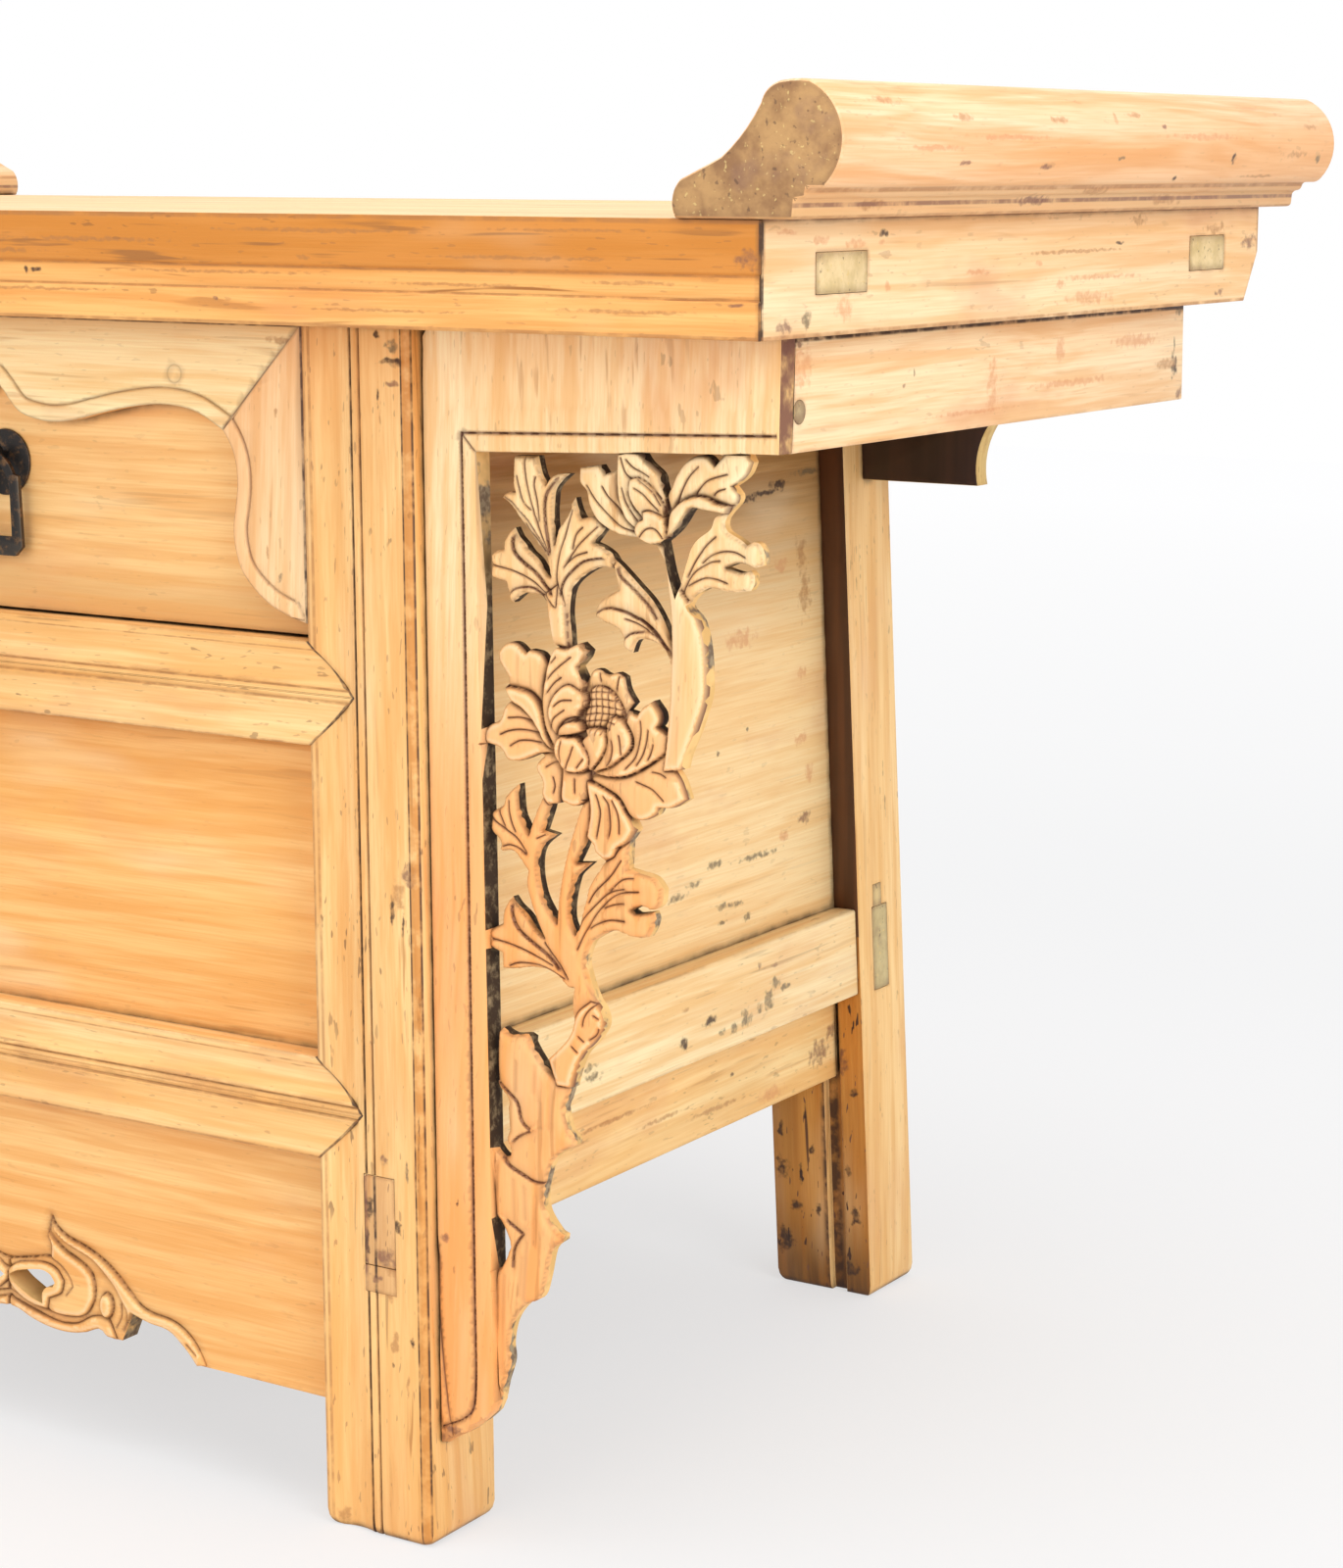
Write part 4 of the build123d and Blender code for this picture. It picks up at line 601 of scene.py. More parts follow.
for side in ("right", "left"):
    dress("side_panel_" + side, "frame", 0.0008, [side_paint])
    dress("side_rail_" + side, "frame", 0.0016, [side_rail_paint])
    dress("side_stretcher_" + side, "frame", 0.0014, [stretcher_paint, wedge_end, stained_end],
          lambda n, c: (1 if c.y > 0 else 2) if abs(n.y) > 0.9 and abs(c.y) > 0.27 else 0)
dress("tenon_wedges", "frame", 0.0004, [wedge_end, stained_end],
      lambda n, c: 0 if c.y > 0 else 1)

# ---------------------------------------------------------------- back and inside
# The back's two rails and two boards, the compartment's floor on its ledges, and the drawer's
# runners and guides. They are the same pine, never stripped, and brown with age and handling.
back_paint = pine("back_pine", "X", (0.36, 0.23, 0.11, 1), (0.25, 0.15, 0.075, 1), 17, 0.4, 0.8)
inside_paint = pine("inside_pine", "Y", (0.42, 0.28, 0.15, 1), (0.30, 0.19, 0.10, 1), 18, 0.3, 0.8)
tenon_rear = end_grain("rear_tenon_grain", (0.62, 0.50, 0.25, 1), (0.50, 0.38, 0.18, 1), 19)
for node in ("rail_rear_upper", "rail_rear_lower", "panel_rear_upper", "panel_rear_lower"):
    dress(node, "frame", 0.0012, [back_paint, tenon_rear],
          lambda n, c: 1 if abs(n.x) > 0.9 and abs(c.x) > 0.32 else 0)
for node in ("compartment_floor", "floor_ledges"):
    dress(node, "frame", 0.0012, [back_paint])
for node in ("drawer_runner_right", "drawer_runner_left", "drawer_guide_right", "drawer_guide_left"):
    dress(node, "frame", 0.0012, [inside_paint])

# ---------------------------------------------------------------- rear brackets and end boards
# The brackets behind the rear posts keep a nearly black finish on the front and show bare wood
# on their cut edge. Pale end boards close the overhang, each with a plug near its front end.
bracket_dark = old_finish("bracket_finish", (0.10, 0.03, 0.015, 1), (0.022, 0.008, 0.005, 1), 5, 0.7)
bracket_edge = pine("bracket_edge_pine", "Z", (0.80, 0.58, 0.22, 1), (0.66, 0.44, 0.14, 1), 20, 0.3, 0.8)
# Painted shadow: a dark line along the board's top edge, in the gap under the end rail, laid twice to be
# strong.
end_board_paint = pine("end_board_pine", "Y", (0.95, 0.72, 0.44, 1), (0.91, 0.58, 0.31, 1), 21, 0.5, 0.2,
                       streaks=0.25, arris=0.6, seams=[((0, 1), 716, 2.4, "dark")] * 2, marks=[
                           (-241, 699, 15, 16, "red"), (-13, 678, 9, 18, "red"), (-112, 691, 1.2, 3, "dark"),
                           (-124, 684, 3, 2, "purple"), (250, 676, 7, 9, "dark"), (236, 678, 18, 5, "brown"),
                           (249, 690, 1.2, 8, "dark"), (78, 695, 8, 10, "red"), (190, 696, 38, 6, "red"),
                           (256, 713, 9, 5, "grey"), (258, 659, 5, 7, "purple"), (-246, 713, 12, 3, "purple"),
                           (-40, 664, 60, 2, "red"), (100, 674, 70, 3, "red")])
board_end = end_grain("end_board_grain", (0.24, 0.13, 0.105, 1), (0.13, 0.065, 0.06, 1), 37)
plug_end = end_grain("plug_end_grain", (0.60, 0.46, 0.24, 1), (0.36, 0.25, 0.13, 1), 22)
for side in ("right", "left"):
    dress("bracket_rear_" + side, "frame", 0.0010, [bracket_dark, bracket_edge],
          lambda n, c: 0 if abs(n.y) > 0.8 else 1)
    dress("end_board_" + side, "frame", 0.0018, [end_board_paint, board_end],
          lambda n, c: 1 if n.y < -0.8 else 0)
dress("wood_pegs", "frame", 0.0006, [plug_end])


# ---------------------------------------------------------------- carved boards
# A board sawn to an outline and carved in relief on its front: each petal or leaf is a layer
# with a rounded edge, veins are cut as V grooves, and the sawn edges keep the old finish.
def rounded(outline, closed=True, step=2.4, corner=52):
    """The outline as a smooth line through its points, which stays sharp at its corners."""
    points = np.array(outline, float)
    count = len(points)
    before, after = np.roll(points, 1, 0), np.roll(points, -1, 0)
    if not closed:
        before[0], after[-1] = points[0], points[-1]
    slope = (after - before) / 2
    into, out = points - before, after - points
    bend = np.abs(np.degrees(np.arctan2(into[:, 0] * out[:, 1] - into[:, 1] * out[:, 0],
                                        (into * out).sum(1))))
    made = []
    for i in range(count if closed else count - 1):
        j = (i + 1) % count
        chord = points[j] - points[i]
        length = np.hypot(*chord)
        first = chord if bend[i] > corner else slope[i]
        last = chord if bend[j] > corner else slope[j]
        first = first * min(1, length / (np.hypot(*first) + 1e-9) * 1.15)
        last = last * min(1, length / (np.hypot(*last) + 1e-9) * 1.15)
        parts = max(1, int(round(length / step)))
        for k in range(parts):
            t = k / parts
            made.append((2 * t ** 3 - 3 * t ** 2 + 1) * points[i] + (t ** 3 - 2 * t ** 2 + t) * first
                        + (3 * t ** 2 - 2 * t ** 3) * points[j] + (t ** 3 - t ** 2) * last)
    if not closed:
        made.append(points[-1])
    return np.array(made)


def inside(points, outline):
    """Which of the points are inside the outline."""
    x, z = points[:, 0], points[:, 1]
    found = np.zeros(len(points), bool)
    x0, z0 = outline[-1]
    for x1, z1 in outline:
        if z1 != z0:
            crosses = ((z0 > z) != (z1 > z)) & (x < (x1 - x0) * (z - z0) / (z1 - z0) + x0)
            found ^= crosses
        x0, z0 = x1, z1
    return found


def nearest(points, line, closed=False, reach=12.0):
    """Distance to a line, and on which side of it each point is: +1 is left of its direction."""
    best = np.full(len(points), reach)
    side = np.ones(len(points))
    ends = np.vstack([line, line[:1]]) if closed else line
    low, high = line.min(0) - reach, line.max(0) + reach
    near = np.nonzero((points >= low).all(1) & (points <= high).all(1))[0]
    if len(near) == 0:
        return best, side
    p = points[near]
    close, hand = best[near], side[near]
    for a, b in zip(ends[:-1], ends[1:]):
        run = b - a
        size = run @ run
        if size < 1e-9:
            continue
        t = np.clip(((p - a) @ run) / size, 0, 1)
        gap = p - a - t[:, None] * run
        far = np.hypot(gap[:, 0], gap[:, 1])
        closer = far < close
        close[closer] = far[closer]
        hand[closer] = np.sign(run[0] * (p - a)[:, 1] - run[1] * (p - a)[:, 0])[closer]
    best[near], side[near] = close, hand
    return best, side


def dome(distance, reach):
    """A quarter-round edge: 0 at the edge and 1 from the distance reach inwards."""
    t = 1 - np.clip(distance / reach, 0, 1)
    return np.sqrt(np.clip(1 - t * t, 0, 1))


def anticlockwise(outline):
    x, z = outline[:, 0], outline[:, 1]
    return outline if (x * np.roll(z, -1) - np.roll(x, -1) * z).sum() > 0 else outline[::-1]


def heading(line):
    """The line's direction at each of its points."""
    run = np.gradient(line, axis=0)
    return run / (np.hypot(run[:, 0], run[:, 1])[:, None] + 1e-9)


def beside(line, offset):
    """The line moved sideways, to the left of its direction."""
    run = heading(line)
    return line + offset * np.stack([-run[:, 1], run[:, 0]], 1)


# The mesh's own sizes in mm: a groove's half width, how far other points stay off a groove and off
# a rim, how rare points are on flat parts, and how far apart rows are as a share of the spacing.
groove_half, groove_clear, rim_clear, coarse_every, row_share = 0.6, 0.9, 0.45, 7, 0.866


def relief_board(name, outlines, holes, height, lines, spacing, thick, surface, fine=None):
    """Build the board in mm and return its mesh in metres. height(points) is how far below the
    face each point lies, and surface(x, z) is the face's own Y. Points are spacing apart, closer
    along the lines, and far apart where fine(points) is false."""
    outlines = [anticlockwise(np.array(o, float)) for o in outlines]
    holes = [anticlockwise(np.array(o, float)) for o in holes]
    low = np.min([o.min(0) for o in outlines], 0)
    high = np.max([o.max(0) for o in outlines], 0)
    rows = np.arange(low[1], high[1], spacing * row_share)
    grid = np.array([(x + (i % 2) * spacing / 2, z) for i, z in enumerate(rows)
                     for x in np.arange(low[0], high[0], spacing)])
    if fine is not None:
        coarse = (np.arange(len(grid)) % coarse_every == 0)
        grid = grid[fine(grid) | coarse]
    along = []
    for line in lines:
        run = np.hypot(*np.diff(line, axis=0).T)
        at = np.concatenate([[0], np.cumsum(run)])
        every = np.arange(0.3, at[-1], 1.0)
        dense = np.stack([np.interp(every, at, line[:, 0]), np.interp(every, at, line[:, 1])], 1)
        if len(dense) > 1:
            along += [beside(dense, -groove_half), dense, beside(dense, groove_half)]
            grid = grid[nearest(grid, dense, False, 3.0)[0] > groove_clear]
    if along:
        along = np.vstack(along)
        along = along[np.unique(np.round(along / 0.5).astype(int), axis=0, return_index=True)[1]]
        grid = np.vstack([grid, along])
    held = np.zeros(len(grid), bool)
    for o in outlines:
        held |= inside(grid, o)
    for o in outlines + holes:
        held &= nearest(grid, o, True, 3.0)[0] > rim_clear
    for o in holes:
        held &= ~inside(grid, o)
    points, edges, faces = [tuple(p) for p in grid[held]], [], []
    for o in outlines + holes:
        faces.append(list(range(len(points), len(points) + len(o))))
        points += [tuple(p) for p in o]
    made = delaunay_2d_cdt([Vector(p) for p in points], edges, faces, 1, 1e-3, True)
    flat = np.array([tuple(v) for v in made[0]])
    solid = set(range(len(outlines)))
    kept = [f for f, source in zip(made[2], made[5])
            if set(source) & solid and not set(source) - solid]
    used = sorted({v for f in kept for v in f})
    number = {v: k for k, v in enumerate(used)}
    flat = flat[used]
    kept = [[number[v] for v in f] for f in kept]
    sunk, old_shade_and_highlight = height(flat)
    face_y = surface(flat[:, 0], flat[:, 1])
    top = np.stack([flat[:, 0], face_y + sunk, flat[:, 1]], 1) / 1000
    bottom = np.stack([flat[:, 0], face_y + thick, flat[:, 1]], 1) / 1000
    # A triangle that runs anticlockwise in X and Z faces -Y, the front.
    kept = [f if np.cross(flat[f[1]] - flat[f[0]], flat[f[2]] - flat[f[0]]) > 0 else f[::-1] for f in kept]
    order = {(a, b) for f in kept for a, b in zip(f, f[1:] + f[:1])}
    rim = [(a, b) for a, b in order if (b, a) not in order]
    rim_points = sorted({v for pair in rim for v in pair})
    count = len(flat)
    wall = {v: count + 3 * k for k, v in enumerate(rim_points)}
    walls = [p for v in rim_points for p in (top[v], bottom[v], bottom[v])]
    vertices = np.vstack([top, np.array(walls)])
    place = {v: k for k, v in enumerate(rim_points)}
    back = delaunay_2d_cdt([Vector(flat[v]) for v in rim_points], [(place[a], place[b]) for a, b in rim],
                           [], 1, 1e-5, True)
    centre = np.array([np.mean([back[0][v] for v in f], 0) for f in back[2]])
    held = np.zeros(len(centre), bool)
    for o in outlines:
        held |= inside(centre, o)
    for o in holes:
        held &= ~inside(centre, o)
    polygons = list(kept)
    front_faces = len(polygons)
    for f, keep in zip(back[2], held):
        if keep:
            corners = [rim_points[back[3][v][0]] for v in f]
            if np.cross(flat[corners[1]] - flat[corners[0]], flat[corners[2]] - flat[corners[0]]) > 0:
                corners = corners[::-1]
            polygons.append([wall[v] + 2 for v in corners])
    back_faces = len(polygons)
    polygons += [[wall[b], wall[a], wall[a] + 1, wall[b] + 1] for a, b in rim]
    mesh = bpy.data.meshes.new(name)
    mesh.from_pydata(vertices.tolist(), [], polygons)
    mesh.update()
    # Each point's mark: dark for old finish and painted shade along the carving, pale below 0 for rubbed wood
    # and painted highlight.
    marks = mesh.attributes.new("old_shade_and_highlight", "FLOAT", "POINT")
    values = np.zeros(len(vertices), np.float32)
    values[:count] = old_shade_and_highlight
    marks.data.foreach_set("value", values)
    for i, face in enumerate(mesh.polygons):
        face.use_smooth = True
        face.material_index = 0 if i < front_faces else (1 if i < back_faces else 2)
    return mesh, flat, rim_points, wall


front_rake, front_at_floor = 0.043, -302.0


def front_face(recess):
    """The raked front plane, set back by recess."""
    return lambda x, z: front_rake * z + front_at_floor + recess


def bell(distance, width, power=2):
    """1 on a line, falling off to either side of it."""
    return np.exp(-(distance / width) ** power)


valley_deep, valley_wide, rim_reach, shade_reach = 2.0, 2.2, 1.4, 6


def carve(points, sunk, old_shade_and_highlight, layers, drop, deeper):
    """Lay petals or scrolls over each other, lowest first, each with a rounded edge that is rubbed pale
    and painted with a highlight just inside its dark rim, and with a valley along it in what lies
    below, painted with shade."""
    for outline, level, edge in sorted(layers, key=lambda layer: -layer[1]):
        held = inside(points, outline)
        distance = nearest(points, outline, True)[0]
        layer = deeper * (level + drop * (1 - dome(distance, edge)))
        sunk = np.where(held, layer, sunk + valley_deep * bell(distance, valley_wide, 1))
        # Painted shade in the valley beside each layer, and a painted highlight just inside its rim.
        shade = np.maximum(0.95 * bell(distance, 0.7), 0.36 * bell(distance, 2.8, 1))
        rub_and_highlight = bell(distance - 2.2, 1.3)
        old_shade_and_highlight = np.where(held, np.where(distance < rim_reach, 0.5 * bell(distance, 0.9), -0.5 * rub_and_highlight),
                       np.where(distance < shade_reach, np.maximum(old_shade_and_highlight, shade), old_shade_and_highlight))
    return sunk, old_shade_and_highlight


def groove_lines(veins, step=1.5):
    return [rounded(v, False, step) for v in veins]


def score(points, sunk, old_shade_and_highlight, lines, wide, deep, dark, reach, slump=0.0, within=1.0):
    """Cut a V groove along each line, darken it as far as reach, and let its sides slump."""
    for line in lines:
        distance = nearest(points, line, False, 5.0)[0]
        cut = bell(distance, wide) * within
        sunk = sunk + deep * cut + slump * bell(distance, 2.0, 1.5)
        old_shade_and_highlight = np.where(distance < reach, np.maximum(old_shade_and_highlight, dark * cut), old_shade_and_highlight)
    return sunk, old_shade_and_highlight


def deepest_cut(points, lines, wide):
    """1 in the middle of any of the lines, falling off to the sides."""
    cut = np.zeros(len(points))
    for line in lines:
        cut = np.maximum(cut, bell(nearest(points, line, False, 5.0)[0], wide))
    return cut


def fold(points, line, drop, reach):
    """A step along a line: the side to the right of its direction lies lower and rises again."""
    distance, side = nearest(points, line, False, reach * 2.5)
    lower = drop * np.exp(-np.clip(distance / reach, 0, 9) ** 1.3)
    return np.where(side < 0, lower, 0) + 0.5 * bell(distance, 0.8)


def fold_shade(points, old_shade_and_highlight, line):
    """The shadow of a fold: a dark line, and a shade that thins out over the lower side."""
    distance, side = nearest(points, line, False, 6.0)
    shade = bell(distance, np.where(side < 0, 1.2, 0.6)) * 0.9
    shade = np.maximum(shade, np.where(side < 0, 0.30 * bell(distance, 2.8, 1), 0))
    return np.where(distance < shade_reach, np.maximum(old_shade_and_highlight, shade), old_shade_and_highlight)


def stand_in(name, mesh, sharp, body, node):
    """Make a piece of this mesh, smooth up to the sharp angle, and put it in a solid's place."""
    mesh.set_sharp_from_angle(angle=math.radians(sharp))
    piece = bpy.data.objects.new(name, mesh)
    bpy.context.scene.collection.objects.link(piece)
    settle(piece, body, node)


# ---------------------------------------------------------------- spandrels
# Openwork boards outside the front posts, in one piece with a beaded surround: a peony in full
# flower between leafy sprays and a bud, rising from a pierced rock. The back is left flat.
spandrel_recess, spandrel_thick = 9.0, 15.0
surround = [(321.6, 718), (559, 718), (559, 654.5), (360.3, 647), (364.2, 560), (368.8, 460), (373.8, 350),
            (378.4, 250), (382.5, 160), (384, 130), (385, 93), (382, 86), (376, 80), (369, 74), (362, 69),
            (354, 64.5), (350, 61.5), (347.9, 60)]
bead_inner = [(570, 655), (360.3, 647), (364.2, 560), (368.8, 460), (373.8, 350), (378.4, 250),
              (382.5, 160), (384, 130), (385, 93)]
bead_outer = [(570, 664.8), (350.3, 657.5), (354.4, 560), (358.2, 460), (362.4, 350), (366.2, 250),
              (369.5, 160), (371.5, 110), (371.3, 95), (369.5, 86), (364, 80.5), (357, 76.5), (345, 71)]
upper_spray = [
    (416, 534), (411, 552), (409, 558), (406, 563), (402, 568), (397, 568.5), (391, 568.5), (386, 565),
    (383, 562.5), (380.5, 568), (379, 574), (369, 576), (368.5, 589), (371, 591), (377, 592.5),
    (377.5, 598), (383, 605), (386, 600), (390, 596.5), (394, 592), (399, 588.5), (402, 585), (406, 579.5),
    (409, 578.5), (407, 587), (402, 594), (393, 604), (386, 612), (381, 617.5), (374.5, 621.5),
    (378, 624.5), (384, 625), (382.5, 630), (383, 645.5), (398, 646), (401, 636), (405, 630.5),
    (408, 634.5), (412, 636.5), (419.5, 637), (411, 629), (409.5, 620), (409.5, 612), (411.5, 597),
    (414, 606), (418, 611), (421, 616), (423.5, 624), (426, 617), (429, 612.5), (435, 614), (440, 613),
    (444, 608), (437, 599.5), (443, 597.5), (449, 594), (452, 590), (450, 586), (444, 586.5), (438, 585),
    (431, 581), (425, 576), (422, 570), (421, 560), (422, 552), (424, 534)]
bud_branch = [
    (488, 476), (489.5, 490), (490.5, 500), (491, 518), (491.5, 524), (490, 533), (485, 543), (477.5, 547.5),
    (469, 548), (466, 545.5), (464, 540), (459, 543), (455.5, 552), (446, 555.5), (440, 558.5),
    (438.5, 562), (443, 568), (455, 575), (452, 583), (449.5, 592), (455, 588), (461, 583), (468, 577),
    (475, 571), (480, 565), (485, 557), (489, 548), (490.9, 541), (491.3, 556), (489.5, 572), (485.5, 582),
    (484, 590), (481, 596), (477, 601), (472, 604), (462, 604.5), (453, 605.5), (445, 609), (439, 613),
    (434, 621), (432, 628), (427.5, 633), (427.5, 641), (440, 643), (444, 638), (452, 641), (453, 652),
    (466, 652), (472, 646), (480, 640), (482, 634), (484.8, 627), (488, 633), (493, 643), (501, 650),
    (509, 651.5), (513, 649), (515.5, 646), (519, 650), (525, 655), (535, 655), (538.5, 649), (536, 643),
    (532, 639), (526.5, 635.5), (530.5, 631), (530, 627), (524, 620.5), (521.5, 616), (523, 611),
    (531, 607), (536, 604), (540, 606), (544, 605), (547, 600), (547, 594), (541, 592), (537, 593.5),
    (531, 594), (523.5, 591), (533, 589), (538.5, 590.5), (541, 588), (541, 583), (539, 579.5),
    (527, 578), (514, 579.5), (508, 577), (503, 573), (500.5, 569), (502, 566.5), (508, 561), (512.5, 547),
    (514.5, 525), (513, 515), (508, 500), (502, 486), (500, 478)]
bud_gap = [
    (521, 620.5), (510, 622), (505, 623), (501, 622), (494, 612), (489, 607), (484, 603), (488, 588),
    (491, 580), (494, 572), (496, 580), (500.5, 594), (503, 601), (507, 606), (515, 612), (517, 618)]
flower = [
    (376.5, 495), (370, 492), (366, 487), (366, 481), (377, 479), (382, 473), (386, 472), (392, 473),
    (404, 478), (407, 477), (403, 473), (402.5, 469), (407, 462), (406.5, 455), (411, 449.5),
    (418, 451), (419.5, 456), (421, 452.5), (430, 450.5), (437, 455), (437.8, 461), (440, 449),
    (438, 434), (443, 429.5), (444, 426), (451, 421.5), (457, 425), (459, 430), (464, 433), (470, 441),
    (466, 448), (475, 447), (483, 451), (485, 455), (494, 456), (503, 461.5), (499, 471), (494, 478),
    (490.5, 487), (491, 491), (490.5, 496), (483, 500), (485, 503), (484.5, 508), (479, 514.5),
    (473, 510), (470, 506), (462, 507.5), (466, 512), (461, 519), (459, 526), (454, 528), (448, 526.5),
    (442, 529), (438, 528), (434, 521), (429, 529.5), (434, 535), (435.5, 539), (430, 543), (421, 539),
    (416, 540), (413, 538), (408.5, 528), (403, 535), (395, 536.5), (393, 534.5), (386, 539.5),
    (379, 539), (374, 534), (375, 528), (381, 520), (380.5, 514), (382, 510), (385, 507), (381, 504.5),
    (379, 501)]
lower_branch = [
    (431, 346), (430, 338), (430.5, 325), (429, 318), (415, 303), (417, 298), (421, 288), (431, 288),
    (433, 296), (438, 308), (447, 318), (452, 328), (449, 337), (446, 340), (441, 350), (437.5, 362),
    (441, 373), (446, 377), (452, 380.5), (458, 382.5), (470, 380), (479, 381), (482, 386), (483.5, 392),
    (482, 395.5), (471, 393.5), (468, 395), (475, 398.5), (482, 397), (487, 401), (488, 409), (482, 415),
    (471, 417), (464.5, 418), (465, 434), (459, 430), (452, 425), (447, 417), (440, 406), (437, 395),
    (433, 382), (431, 377), (427, 385), (427, 396), (430, 409), (432, 412), (440, 419), (430, 418),
    (435, 428), (440.5, 442), (440, 455), (434, 455), (431.5, 446), (425.5, 427), (422, 413), (419.5, 398),
    (418.5, 382), (413, 388), (407, 398), (404, 412), (406, 424), (415.5, 432.5), (407, 434), (412, 449),
    (412, 455), (407, 455), (400, 438), (398, 431), (394, 437), (391, 443), (389, 459), (381, 451),
    (380, 446.5), (372, 441.5), (372, 431), (378, 426), (378, 419), (388, 420), (398, 410), (397, 405),
    (398, 399), (403, 386), (410, 372.5), (404, 376), (397, 384), (390, 389), (386, 393.5), (381.5, 385),
    (381, 377.5), (372, 373), (372, 363), (381, 360), (381.5, 351), (390, 352), (404, 354.5), (417, 352.5),
    (427, 346)]
rock = [
    (379.5, 317), (384, 314.5), (389, 313), (402, 315), (401.5, 310), (409, 300), (418, 293), (428, 291.5),
    (431, 294), (427, 280), (425, 275), (429, 262), (436, 256), (424, 249), (417, 241), (412.5, 225),
    (414, 212), (423, 201), (429, 199), (419, 190), (415, 172), (411, 160), (401, 154), (393, 143),
    (390, 129), (391, 118), (387, 104), (384, 90), (376, 90), (378, 160), (378, 171), (384, 174),
    (389, 184), (390, 190), (385, 200), (380.5, 204), (377, 204), (376, 246), (378.5, 246), (381, 243),
    (385, 240), (389, 241), (386, 252), (388, 257), (387, 270), (388, 275), (381, 281), (379.3, 284)]

